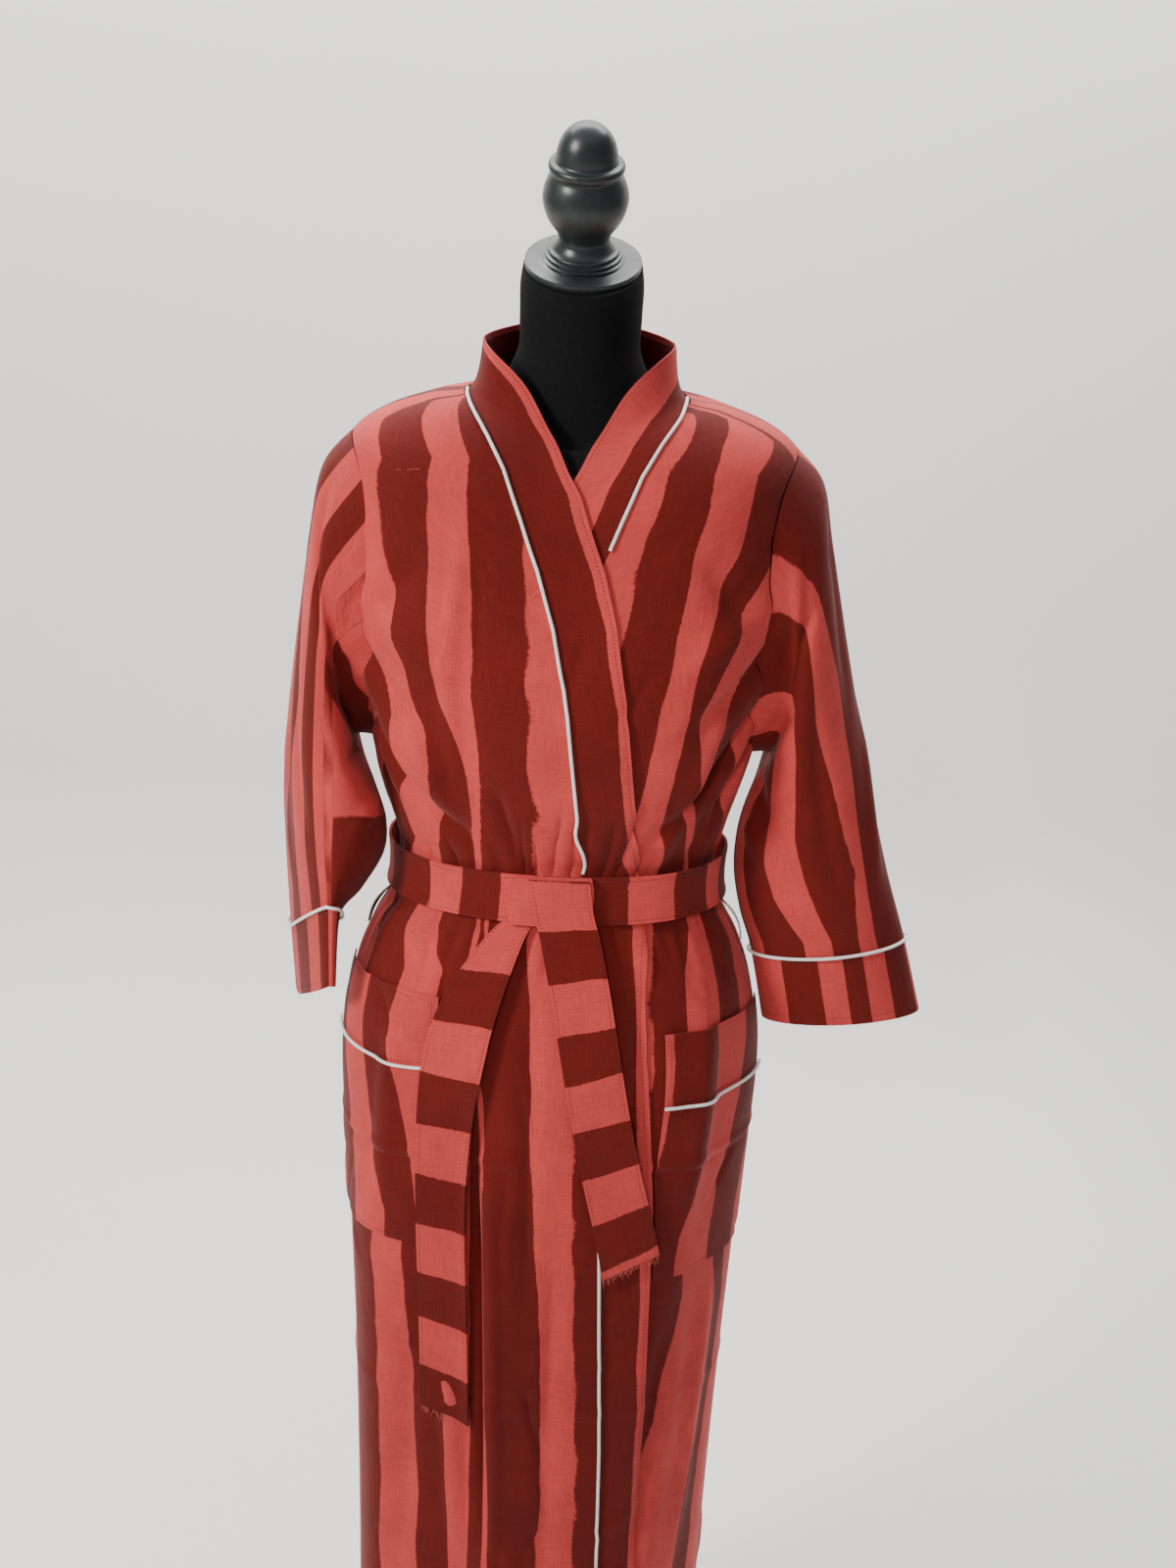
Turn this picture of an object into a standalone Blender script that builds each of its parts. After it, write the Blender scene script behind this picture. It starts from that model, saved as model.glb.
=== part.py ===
"""Striped cotton kimono robe with a tie belt, hanging on a limbless dress form.

Metres, +Z up. +X is to the viewer's right and -Y faces the viewer. The origin is the centre of
the stand's underside. The robe is a set of thin walls on one body surface, which is worked out
from a short table of horizontal sections and a table of folds.
"""

import math
from collections import namedtuple

import bmesh
import bpy
import numpy as np

# Cloth and seams.
WALL = 0.0015
SEAM_GAP = 0.0004
LAYER_GAP = 0.0022
OVER_LIFT = WALL + LAYER_GAP
PIPING_RADIUS = 0.0018
TRIM_GAP = 0.0007

# The robe's body: one row for each level, from the top of the neck band down to the hem.
Level = namedtuple("Level", "side_z front_z back_z half_width front back")
LEVELS = [
    Level(1.462, 1.412, 1.474, 0.080, 0.050, 0.062),
    Level(1.421, 1.388, 1.432, 0.089, 0.064, 0.070),
    Level(1.412, 1.362, 1.420, 0.125, 0.080, 0.078),
    Level(1.399, 1.335, 1.400, 0.162, 0.094, 0.085),
    Level(1.380, 1.305, 1.370, 0.188, 0.105, 0.092),
    Level(1.350, 1.270, 1.330, 0.199, 0.113, 0.097),
    Level(1.280, 1.225, 1.275, 0.197, 0.124, 0.102),
    Level(1.195, 1.170, 1.195, 0.185, 0.134, 0.103),
    Level(1.110, 1.105, 1.110, 0.166, 0.126, 0.098),
    Level(1.056, 1.056, 1.056, 0.151, 0.113, 0.092),
    Level(1.022, 1.022, 1.022, 0.142, 0.101, 0.087),
    Level(0.978, 0.978, 0.978, 0.143, 0.102, 0.088),
    Level(0.938, 0.938, 0.938, 0.164, 0.115, 0.103),
    Level(0.890, 0.890, 0.890, 0.180, 0.123, 0.116),
    Level(0.820, 0.820, 0.820, 0.187, 0.128, 0.124),
    Level(0.700, 0.700, 0.700, 0.182, 0.125, 0.122),
    Level(0.540, 0.540, 0.540, 0.174, 0.121, 0.118),
    Level(0.370, 0.370, 0.370, 0.168, 0.118, 0.115),
    Level(0.200, 0.200, 0.200, 0.164, 0.116, 0.113),
]
BAND_TOP_LEVEL = -1.0
NECK_LEVEL = 0.0
HEM_LEVEL = 17.0
SQUARENESS = 2.25

# Long soft folds: angle and half-width in degrees, depth, and the heights between which they show.
Fold = namedtuple("Fold", "angle spread depth top bottom")
FOLDS = [
    Fold(-31, 8, -0.009, 0.86, 0.10),
    Fold(-19, 8, 0.005, 0.80, 0.10),
    Fold(-62, 9, 0.005, 0.76, 0.10),
    Fold(-47, 8, -0.004, 0.70, 0.10),
    Fold(48, 9, 0.006, 0.90, 0.10),
    Fold(66, 9, -0.005, 0.92, 0.10),
    Fold(104, 9, 0.007, 0.90, 0.10),
    Fold(126, 9, -0.007, 0.93, 0.10),
    Fold(150, 10, 0.007, 0.93, 0.10),
    Fold(176, 10, -0.006, 0.95, 0.10),
    Fold(202, 10, 0.007, 0.93, 0.10),
    Fold(226, 9, -0.007, 0.93, 0.10),
    Fold(250, 9, 0.006, 0.90, 0.10),
    Fold(-52, 8, 0.007, 1.20, 1.02),
    Fold(-36, 7, -0.005, 1.22, 1.02),
    Fold(44, 8, 0.006, 1.20, 1.02),
    Fold(60, 7, -0.005, 1.20, 1.02),
    Fold(130, 9, 0.006, 1.20, 1.02),
    Fold(155, 9, -0.005, 1.18, 1.02),
    Fold(180, 9, 0.006, 1.20, 1.02),
    Fold(205, 9, -0.005, 1.18, 1.02),
    Fold(230, 9, 0.006, 1.20, 1.02),
]
FOLD_FADE = 0.10
FOLD_REACH = 3

# Where the neck band runs down the front that lies on top: its seam and its free edge, by height.
BandAt = namedtuple("BandAt", "z seam_x edge_x")
BAND_RUN = [
    BandAt(1.362, -0.0725, -0.003),
    BandAt(1.345, -0.0572, 0.008),
    BandAt(1.317, -0.0420, 0.018),
    BandAt(1.284, -0.0256, 0.030),
    BandAt(1.240, -0.0100, 0.0415),
    BandAt(1.173, 0.0047, 0.0535),
    BandAt(1.080, 0.0165, 0.0655),
    BandAt(1.034, 0.0207, 0.0705),
    BandAt(1.000, 0.0240, 0.074),
    BandAt(0.841, 0.0400, 0.091),
    BandAt(0.708, 0.0510, 0.099),
    BandAt(0.464, 0.0620, 0.102),
    BandAt(0.200, 0.0680, 0.103),
]
# Where it turns round the neck: the angle and level of its seam and of its free edge.
BandTurn = namedtuple("BandTurn", "seam_deg seam_level edge_deg edge_level")
BAND_TURN = [
    BandTurn(90, 0.00, 90, -1.00),
    BandTurn(73, 0.25, 62, -0.93),
    BandTurn(61, 0.55, 38, -0.68),
    BandTurn(52.5, 0.80, 15, 0.08),
]
TURN_END_LEVEL = 1.0
UNDER_PIPING_ENDS_DEG = -17.5
PIPING_STARTS_LEVEL = 0.10
BAND_COLUMNS = 4
BACK_BAND_COLUMNS = 13
BACK_BAND_GAP_LEVEL = 0.012

# Armholes, as an oval on the body surface.
ARMHOLE_TOP = 3.0
ARMHOLE_BOTTOM = 7.0
ARMHOLE_HALF_DEG = 24.0
ARMHOLE_STEPS = 8
LEVELS_ABOVE_ARMHOLE = [0.25, 0.55, 0.80, 1.0, 1.6, 2.3]
LEVELS_BELOW_ARMHOLE = [
    7.6, 8.2, 8.65, 9.0, 9.5, 10.0, 10.35, 10.8, 11.4, 12.0, 12.6, 13.3, 14.0, 15.0, 16.0,
]
# The sleeve's wall stands inside the armhole's edge: in levels at its head and foot, in degrees at
# its sides.
SLEEVE_HEAD_INSET = 0.080
SLEEVE_FOOT_INSET = 0.028
SLEEVE_SIDE_INSET_DEG = 0.80

# Sleeves: each ring has the x and z of its outer point, then its inner, front and back points.
SleeveRing = namedtuple("SleeveRing", "outer inner front back")
SLEEVE_RIGHT = [
    SleeveRing((0.2125, 1.352), (0.1840, -0.002, 1.110), (0.198, -0.069, 1.235), (0.198, 0.064, 1.231)),
    SleeveRing((0.2230, 1.300), (0.1740, -0.004, 1.086), (0.206, -0.070, 1.195), (0.206, 0.062, 1.193)),
    SleeveRing((0.2390, 1.225), (0.1650, -0.004, 1.060), (0.213, -0.066, 1.142), (0.213, 0.058, 1.142)),
    SleeveRing((0.2580, 1.145), (0.1600, -0.004, 1.032), (0.219, -0.061, 1.088), (0.219, 0.052, 1.088)),
    SleeveRing((0.2775, 1.067), (0.1600, -0.005, 0.998), (0.225, -0.055, 1.032), (0.225, 0.045, 1.032)),
    SleeveRing((0.2960, 1.002), (0.1680, -0.005, 0.960), (0.234, -0.048, 0.981), (0.234, 0.038, 0.981)),
    SleeveRing((0.3160, 0.941), (0.1800, -0.004, 0.924), (0.247, -0.040, 0.932), (0.247, 0.032, 0.932)),
]
CUFF_END_RIGHT = SleeveRing(
    (0.3360, 0.871), (0.1945, -0.004, 0.858), (0.262, -0.034, 0.864), (0.262, 0.026, 0.864)
)
SLEEVE_LEFT = [
    SleeveRing((-0.2130, 1.350), (-0.1840, -0.004, 1.110), (-0.199, -0.071, 1.235), (-0.201, 0.064, 1.230)),
    SleeveRing((-0.2220, 1.300), (-0.1740, -0.014, 1.090), (-0.202, -0.078, 1.205), (-0.212, 0.062, 1.190)),
    SleeveRing((-0.2300, 1.225), (-0.1620, -0.030, 1.068), (-0.202, -0.084, 1.160), (-0.222, 0.060, 1.135)),
    SleeveRing((-0.2360, 1.140), (-0.1520, -0.048, 1.046), (-0.201, -0.088, 1.112), (-0.230, 0.059, 1.080)),
    SleeveRing((-0.2380, 1.070), (-0.1530, -0.054, 1.018), (-0.200, -0.090, 1.068), (-0.236, 0.058, 1.030)),
    SleeveRing((-0.2370, 1.000), (-0.1720, -0.050, 0.982), (-0.199, -0.088, 1.022), (-0.238, 0.058, 0.975)),
    SleeveRing((-0.2350, 0.928), (-0.1935, -0.040, 0.948), (-0.197, -0.085, 0.976), (-0.238, 0.058, 0.915)),
]
CUFF_END_LEFT = SleeveRing(
    (-0.2300, 0.860), (-0.1990, -0.036, 0.880), (-0.1955, -0.082, 0.899), (-0.236, 0.060, 0.850)
)
SLEEVE_STEPS = 11
CUFF_STEPS = 2
CUFF_STARTS = 0.008

# Patch pockets: from the side seam towards the front, with a deep band at the top.
Pocket = namedtuple("Pocket", "name side top bottom columns lifted")
POCKETS = [
    Pocket("left", -1, 0.905, 0.664, 8, True),
    Pocket("right", 1, 0.880, 0.640, 8, False),
]
POCKET_BAND = 0.066
POCKET_GAP = 0.0012
POCKET_STARTS = 0.35
POCKET_TO_BAND_DEG = 0.8
FRONT_COLUMNS = 19
BACK_COLUMNS = 21

# Belt: a flat ring, the folded knot on it, and two tails. Lifts are from the body surface.
BELT_WIDTH = 0.046
BELT_THICKNESS = 0.0024
BELT_Z = 1.000
BELT_LIFT = 0.0078
BELT_COLUMNS = 48
StripAt = namedtuple("StripAt", "z x half_width lift")
KNOT_THICKNESS = 0.0050
KNOT = [
    StripAt(1.0245, 0.000, 0.030, 0.0109),
    StripAt(1.0120, -0.001, 0.033, 0.0109),
    StripAt(1.0000, -0.002, 0.034, 0.0109),
    StripAt(0.9880, -0.003, 0.034, 0.0109),
    StripAt(0.9755, -0.004, 0.031, 0.0109),
]
TAIL_LEFT = [
    StripAt(0.9763, -0.030, 0.013, 0.0078),
    StripAt(0.9580, -0.041, 0.016, 0.0100),
    StripAt(0.9200, -0.060, 0.022, 0.0140),
    StripAt(0.8700, -0.075, 0.025, 0.0142),
    StripAt(0.8000, -0.083, 0.025, 0.0142),
    StripAt(0.7000, -0.084, 0.024, 0.0135),
    StripAt(0.6000, -0.081, 0.024, 0.0095),
    StripAt(0.4900, -0.077, 0.024, 0.0085),
]
TAIL_RIGHT = [
    StripAt(1.0240, 0.003, 0.025, 0.0166),
    StripAt(0.9900, 0.008, 0.024, 0.0166),
    StripAt(0.9600, 0.015, 0.024, 0.0166),
    StripAt(0.9200, 0.025, 0.024, 0.0140),
    StripAt(0.8700, 0.035, 0.024, 0.0118),
    StripAt(0.8100, 0.047, 0.024, 0.0112),
    StripAt(0.7500, 0.060, 0.024, 0.0110),
    StripAt(0.7000, 0.072, 0.024, 0.0108),
    StripAt(0.6600, 0.080, 0.024, 0.0105),
]
TAIL_SLANT = {"left": -0.006, "right": 0.012}
TAIL_STEPS = 16

# Belt loops on the side seams.
LOOP_TOP = 0.966
LOOP_LENGTH = 0.036
LOOP_WIDTH = 0.005
LOOP_BOW = 0.0035

# Dress form.
FORM_BOTTOM = 0.800
FORM_EASE_SHOULDER = 0.0007
FORM_EASE_FRONT = 0.0040
FORM_EASE_BODY = 0.0120
EASE_STARTS, EASE_FULL = 1.4, 3.6
NECK_TOP = 1.524
NECK_Y = 0.004
NECK_DEPTH_SHARE = 1.03
# Neck rings: height, radius, and how much of the cap's tilt they take.
NECK_RINGS = [(NECK_TOP, 0.0500, 1.0), (1.508, 0.0520, 0.9), (1.480, 0.0515, 0.55), (1.452, 0.0525, 0.2)]
FORM_SIDES = 40
FORM_LEVELS = [0.25, 0.6, 1.0, 1.6, 2.3, 3.0, 3.6, 4.4, 5.2, 6.0, 7.0, 8.0, 9.0, 10.0, 11.0]
CAP_TILT = math.radians(22)
NECK_BASE_SHARE = 0.80
NECK_BASE_DROP = 0.001
FINIAL_PROFILE = [
    (0.0490, 0.0000), (0.0490, 0.0045), (0.0475, 0.0060), (0.0345, 0.0066), (0.0345, 0.0088),
    (0.0322, 0.0098), (0.0322, 0.0122), (0.0298, 0.0132), (0.0298, 0.0156), (0.0262, 0.0175),
    (0.0222, 0.0230), (0.0215, 0.0275), (0.0242, 0.0340), (0.0310, 0.0440), (0.0352, 0.0570),
    (0.0352, 0.0670), (0.0322, 0.0770), (0.0292, 0.0830), (0.0302, 0.0855), (0.0315, 0.0890),
    (0.0302, 0.0925), (0.0258, 0.0945), (0.0250, 0.1010), (0.0222, 0.1110), (0.0165, 0.1195),
    (0.0085, 0.1248),
]
FINIAL_HEIGHT = 0.1262
FINIAL_SIDES = 18
# The stand: radius and height of the base's profile.
SEAT_GAP = 0.0003
POLE_RADIUS = 0.0125
POLE_TIP = 0.002
POLE_SIDES = 16
BASE_HEIGHT = 0.022
BASE_PROFILE = [(0.1800, 0.0), (0.1800, 0.0099), (0.1746, 0.0158), (0.0900, 0.0202), (0.0300, BASE_HEIGHT)]
BASE_SIDES = 40

DARK_RED = (0.22, 0.022, 0.016, 1)
PINK = (0.56, 0.10, 0.10, 1)
WHITE = (0.85, 0.83, 0.80, 1)
BLACK_JERSEY = (0.004, 0.004, 0.004, 1)
BLACK_WOOD = (0.012, 0.014, 0.015, 1)


def clear_scene():
    for obj in list(bpy.data.objects):
        bpy.data.objects.remove(obj)


def material(name, color, roughness, metallic=0.0):
    made = bpy.data.materials.new(name)
    made.use_nodes = True
    shader = made.node_tree.nodes["Principled BSDF"]
    shader.inputs["Base Color"].default_value = color
    shader.inputs["Roughness"].default_value = roughness
    shader.inputs["Metallic"].default_value = metallic
    return made


def smooth_step(low, high, value):
    t = min(1.0, max(0.0, (value - low) / (high - low)))
    return t * t * (3 - 2 * t)


def along(rows, position):
    """A row between the rows of a table, on a smooth curve through them."""
    table = np.array(rows, float)
    position = min(max(position, 0.0), len(table) - 1.0)
    i = min(int(position), len(table) - 2)
    t = position - i
    before = table[max(i - 1, 0)]
    after = table[min(i + 2, len(table) - 1)]
    first, last = table[i], table[i + 1]
    return 0.5 * (
        2 * first
        + (last - before) * t
        + (2 * before - 5 * first + 4 * last - after) * t * t
        + (3 * first - before - 3 * last + after) * t * t * t
    )


def fold_depth(degrees, z):
    """How far the folds move the cloth out at an angle and a height."""
    total = 0.0
    for fold in FOLDS:
        away = (degrees - fold.angle + 180) % 360 - 180
        if abs(away) > FOLD_REACH * fold.spread:
            continue
        shown = smooth_step(fold.top + 0.01, fold.top + 0.01 - FOLD_FADE, z)
        shown *= smooth_step(fold.bottom - 0.01, fold.bottom + FOLD_FADE, z)
        total += fold.depth * shown * math.exp(-0.5 * (away / fold.spread) ** 2)
    return total


def plain_radius(degrees, level):
    """(radius, height) of the body surface without its folds."""
    row = Level(*along(LEVELS, level - BAND_TOP_LEVEL))
    a = math.radians(degrees)
    s, c = math.sin(a), math.cos(a)
    depth = row.front if c > 0 else row.back
    facing_z = row.front_z if c > 0 else row.back_z
    across = abs(s / row.half_width) ** SQUARENESS
    deep = abs(c / depth) ** SQUARENESS
    return (across + deep) ** (-1 / SQUARENESS), row.side_z * s * s + facing_z * c * c


def at_radius(degrees, radius, z):
    a = math.radians(degrees)
    return np.array((radius * math.sin(a), -radius * math.cos(a), z))


def surface(degrees, level):
    """The robe's inner surface at an angle (0 in front, 90 at +X) and a level of the table."""
    radius, z = plain_radius(degrees, level)
    return at_radius(degrees, radius + fold_depth(degrees, z), z)


def surface_normal(degrees, level):
    step_deg, step_level = 0.5, 0.02
    low = max(level - step_level, BAND_TOP_LEVEL)
    high = min(level + step_level, HEM_LEVEL)
    across = surface(degrees + step_deg, level) - surface(degrees - step_deg, level)
    down = surface(degrees, high) - surface(degrees, low)
    normal = np.cross(down, across)
    return normal / np.linalg.norm(normal)


def on_body(degrees, level, lift):
    return surface(degrees, level) + surface_normal(degrees, level) * lift


def level_at(z):
    """The level whose front lies at height z, below the neck."""
    low, high = NECK_LEVEL, HEM_LEVEL
    for _ in range(30):
        middle = (low + high) / 2
        if along(LEVELS, middle - BAND_TOP_LEVEL)[1] > z:
            low = middle
        else:
            high = middle
    return (low + high) / 2


def angle_at(x, level):
    """The angle on the front half at which a level reaches x."""
    low, high = -89.0, 89.0
    for _ in range(30):
        middle = (low + high) / 2
        if surface(middle, level)[0] < x:
            low = middle
        else:
            high = middle
    return (low + high) / 2


def over_lift(degrees):
    """The front that lies on top rises from its side seam to clear the front below it."""
    return OVER_LIFT * smooth_step(-84, -60, degrees)


def band_run(level):
    """(seam angle, edge angle) of the band on top, below its turn round the neck."""
    z = along(LEVELS, level - BAND_TOP_LEVEL)[1]
    heights = [row.z for row in BAND_RUN][::-1]
    seam_x = np.interp(z, heights, [row.seam_x for row in BAND_RUN][::-1])
    edge_x = np.interp(z, heights, [row.edge_x for row in BAND_RUN][::-1])
    return angle_at(seam_x, level), angle_at(edge_x, level)


def band_lines(levels):
    """The band on top as pairs of (angle, level), seam then edge, from the neck's side to the hem."""
    lines = [((-t.seam_deg, t.seam_level), (-t.edge_deg, t.edge_level)) for t in BAND_TURN]
    for level in levels:
        if level >= TURN_END_LEVEL:
            seam, edge = band_run(level)
            lines.append(((seam, level), (edge, level)))
    return lines


def seam_angle(level):
    """The angle of the front's seam with its band, for the front on top."""
    if level >= TURN_END_LEVEL:
        return band_run(level)[0]
    turn_levels = [t.seam_level for t in BAND_TURN] + [TURN_END_LEVEL]
    turn_angles = [-t.seam_deg for t in BAND_TURN] + [band_run(TURN_END_LEVEL)[0]]
    return float(np.interp(level, turn_levels, turn_angles))


def armhole_half_angle(level):
    if not ARMHOLE_TOP < level < ARMHOLE_BOTTOM:
        return 0.0
    across = 2 * (level - ARMHOLE_TOP) / (ARMHOLE_BOTTOM - ARMHOLE_TOP) - 1
    return ARMHOLE_HALF_DEG * math.sqrt(max(0.0, 1 - across * across))


def panel_levels():
    """The levels of a panel's rows: above, round and below the armhole."""
    height = ARMHOLE_BOTTOM - ARMHOLE_TOP
    turns = [math.pi * k / ARMHOLE_STEPS for k in range(ARMHOLE_STEPS + 1)]
    armhole = [ARMHOLE_TOP + height * (1 - math.cos(turn)) / 2 for turn in turns]
    return LEVELS_ABOVE_ARMHOLE + armhole + LEVELS_BELOW_ARMHOLE + [HEM_LEVEL]


def gap_degrees(degrees, level):
    return math.degrees(SEAM_GAP / 2 / np.linalg.norm(surface(degrees, level)[:2]))


def add_object(name, bm, made, smooth=True):
    bmesh.ops.recalc_face_normals(bm, faces=bm.faces)
    mesh = bpy.data.meshes.new(name)
    bm.to_mesh(mesh)
    bm.free()
    if smooth:
        mesh.shade_smooth()
        mesh.set_sharp_from_angle(angle=math.radians(50))
    obj = bpy.data.objects.new(name, mesh)
    bpy.context.scene.collection.objects.link(obj)
    obj.data.materials.append(made)
    return obj


def wall(name, inner, outer, made, wrap=False):
    """A closed wall between two grids of points, open in the middle where wrap joins its sides."""
    rows, columns = len(inner), len(inner[0])
    bm = bmesh.new()
    grids = [[[bm.verts.new(p) for p in row] for row in grid] for grid in (inner, outer)]
    spans = columns if wrap else columns - 1
    for grid in grids:
        for i in range(rows - 1):
            for j in range(spans):
                k = (j + 1) % columns
                bm.faces.new((grid[i][j], grid[i][k], grid[i + 1][k], grid[i + 1][j]))
    low, high = grids
    for i in (0, rows - 1):
        for j in range(spans):
            k = (j + 1) % columns
            bm.faces.new((low[i][j], low[i][k], high[i][k], high[i][j]))
    if not wrap:
        for j in (0, columns - 1):
            for i in range(rows - 1):
                bm.faces.new((low[i][j], low[i + 1][j], high[i + 1][j], high[i][j]))
    return add_object(name, bm, made)


def body_wall(name, rows, lift, made, thickness=WALL):
    """A wall on the body surface. rows holds lists of (angle, level), and lift is a function of both."""
    inner = [[on_body(d, v, lift(d, v)) for d, v in row] for row in rows]
    outer = [[on_body(d, v, lift(d, v) + thickness) for d, v in row] for row in rows]
    return wall(name, inner, outer, made)


def tube(name, points, radius, made, closed=False, sides=5):
    """A round cord through points, with flat ends unless it is closed."""
    path = np.array(points, float)
    count = len(path)
    if closed:
        tangents = np.roll(path, -1, 0) - np.roll(path, 1, 0)
    else:
        tangents = np.gradient(path, axis=0)
    tangents /= np.linalg.norm(tangents, axis=1)[:, None]
    across = np.cross(tangents[0], (0.0, 0.0, 1.0))
    if np.linalg.norm(across) < 0.1:
        across = np.cross(tangents[0], (1.0, 0.0, 0.0))
    bm = bmesh.new()
    rings = []
    for i in range(count):
        across = across - tangents[i] * (across @ tangents[i])
        across /= np.linalg.norm(across)
        other = np.cross(tangents[i], across)
        ring = []
        for k in range(sides):
            a = 2 * math.pi * k / sides
            ring.append(bm.verts.new(path[i] + radius * (math.cos(a) * across + math.sin(a) * other)))
        rings.append(ring)
    for i in range(count if closed else count - 1):
        first, second = rings[i], rings[(i + 1) % count]
        for k in range(sides):
            n = (k + 1) % sides
            bm.faces.new((first[k], first[n], second[n], second[k]))
    if not closed:
        bm.faces.new(rings[0])
        bm.faces.new(rings[-1])
    return add_object(name, bm, made)


def turned(name, profile, top, sides, made, place=None):
    """A solid of revolution with a flat foot and a point at its top."""
    bm = bmesh.new()
    rings = []
    for radius, height in profile:
        angles = [2 * math.pi * k / sides for k in range(sides)]
        rings.append([bm.verts.new((radius * math.cos(a), radius * math.sin(a), height)) for a in angles])
    for first, second in zip(rings, rings[1:]):
        for k in range(sides):
            n = (k + 1) % sides
            bm.faces.new((first[k], first[n], second[n], second[k]))
    bm.faces.new(rings[0])
    tip = bm.verts.new((0, 0, top))
    for k in range(sides):
        bm.faces.new((rings[-1][k], rings[-1][(k + 1) % sides], tip))
    obj = add_object(name, bm, made)
    if place is not None:
        obj.location, obj.rotation_euler = place
    return obj


def front_angles(level):
    """The angles of the columns of the front on top, from its side seam to its band."""
    side = -90 + armhole_half_angle(level)
    seam = seam_angle(level)
    return np.linspace(side + gap_degrees(side, level), seam - gap_degrees(seam, level), FRONT_COLUMNS)


def make_back(made):
    rows = []
    for level in panel_levels():
        half = armhole_half_angle(level)
        start, end = 90 + half, 270 - half
        gap = gap_degrees(start, level)
        rows.append([(d, level) for d in np.linspace(start + gap, end - gap, BACK_COLUMNS)])
    body_wall("back", rows, lambda d, v: 0.0, made)


def make_fronts(over_made, under_made):
    over, under = [], []
    for level in panel_levels():
        row = front_angles(level)
        over.append([(d, level) for d in row])
        under.append([(-d, level) for d in row])
    body_wall("front_over", over, lambda d, v: over_lift(d), over_made)
    body_wall("front_under", under, lambda d, v: 0.0, under_made)


def make_bands(made):
    lines = band_lines(panel_levels())
    across = np.linspace(0, 1, BAND_COLUMNS)
    over, under = [], []
    for (seam_deg, seam_level), (edge_deg, edge_level) in lines:
        start = seam_deg + gap_degrees(seam_deg, seam_level)
        row = [(start + (edge_deg - start) * t, seam_level + (edge_level - seam_level) * t) for t in across]
        over.append(row)
        under.append([(-d, v) for d, v in row])
    over[0] = [(-90 + gap_degrees(90, 0), v) for _, v in over[0]]
    under[0] = [(-d, v) for d, v in over[0]]
    body_wall("band_over", over, lambda d, v: over_lift(d), made)
    body_wall("band_under", under, lambda d, v: 0.0, made)
    gap = gap_degrees(90, 0)
    start = NECK_LEVEL - BACK_BAND_GAP_LEVEL
    back = [
        [(d, start + (BAND_TOP_LEVEL - start) * t) for t in across]
        for d in np.linspace(90 + gap, 270 - gap, BACK_BAND_COLUMNS)
    ]
    body_wall("band_back", back, lambda d, v: 0.0, made)


def make_band_piping(made):
    lift = WALL + TRIM_GAP + PIPING_RADIUS
    seam = [pair[0] for pair in band_lines(panel_levels()) if pair[0][1] >= PIPING_STARTS_LEVEL]
    belt_top = level_at(BELT_Z + BELT_WIDTH / 2 + TRIM_GAP)
    belt_foot = level_at(BELT_Z - BELT_WIDTH / 2 - TRIM_GAP)
    above = [pair for pair in seam if pair[1] < belt_top] + [(band_run(belt_top)[0], belt_top)]
    below = [(band_run(belt_foot)[0], belt_foot)] + [pair for pair in seam if pair[1] > belt_foot]
    under = [on_body(-d, v, lift) for d, v in seam if d < UNDER_PIPING_ENDS_DEG]
    tube("piping_band_over", [on_body(d, v, over_lift(d) + lift) for d, v in above], PIPING_RADIUS, made)
    tube("piping_band_skirt", [on_body(d, v, over_lift(d) + lift) for d, v in below], PIPING_RADIUS, made)
    tube("piping_band_under", under, PIPING_RADIUS, made)


def armhole_ring(side):
    """The sleeve's first ring, a wall and a gap inside the armhole's edge. It runs from the
    shoulder over the front to the underarm and back."""
    ring = []
    for k in range(2 * ARMHOLE_STEPS):
        a = math.pi * k / ARMHOLE_STEPS
        top, bottom = ARMHOLE_TOP + SLEEVE_HEAD_INSET, ARMHOLE_BOTTOM - SLEEVE_FOOT_INSET
        level = top + (bottom - top) * (1 - math.cos(a)) / 2
        forward = (ARMHOLE_HALF_DEG - SLEEVE_SIDE_INSET_DEG) * math.sin(a)
        ring.append(on_body(side * (90 - forward), level, SEAM_GAP))
    return np.array(ring)


def sleeve_ring(row):
    outer_x, outer_z = row.outer
    middle_y = (row.front[1] + row.back[1]) / 2
    middle = np.array(((outer_x + row.inner[0]) / 2, middle_y, (outer_z + row.inner[2]) / 2))
    outer = np.array((outer_x, middle_y, outer_z)) - middle
    inner = np.array(row.inner) - middle
    front = np.array(row.front) - middle
    back = np.array(row.back) - middle
    ring = []
    for k in range(2 * ARMHOLE_STEPS):
        a = math.pi * k / ARMHOLE_STEPS
        c, s = math.cos(a), math.sin(a)
        ring.append(middle + (outer * c if c > 0 else inner * -c) + (front * s if s > 0 else back * -s))
    return np.array(ring)


def ring_normals(grid):
    """Normals of a grid that closes along its rows, pointing away from each row's middle."""
    around = np.roll(grid, -1, 1) - np.roll(grid, 1, 1)
    down = np.gradient(grid, axis=0)
    normals = np.cross(around, down)
    normals /= np.linalg.norm(normals, axis=2)[:, :, None]
    outward = grid - grid.mean(1)[:, None, :]
    flip = np.sign((normals * outward).sum(2).mean())
    return normals * flip


def sleeve_grid(side, table, cuff_end):
    """(sleeve rings, cuff rings) of one sleeve."""
    start = armhole_ring(side)
    rings = [sleeve_ring(row) for row in table]
    stack = np.array([start, *rings, sleeve_ring(cuff_end)])
    flat = stack.reshape(len(stack), -1)
    last = len(stack) - 2
    sleeve = [along(flat, last * i / SLEEVE_STEPS).reshape(start.shape) for i in range(SLEEVE_STEPS + 1)]
    cuff = []
    for i in range(CUFF_STEPS + 1):
        share = CUFF_STARTS + (1 - CUFF_STARTS) * i / CUFF_STEPS
        cuff.append(along(flat, last + share).reshape(start.shape))
    return np.array(sleeve), np.array(cuff)


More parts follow.
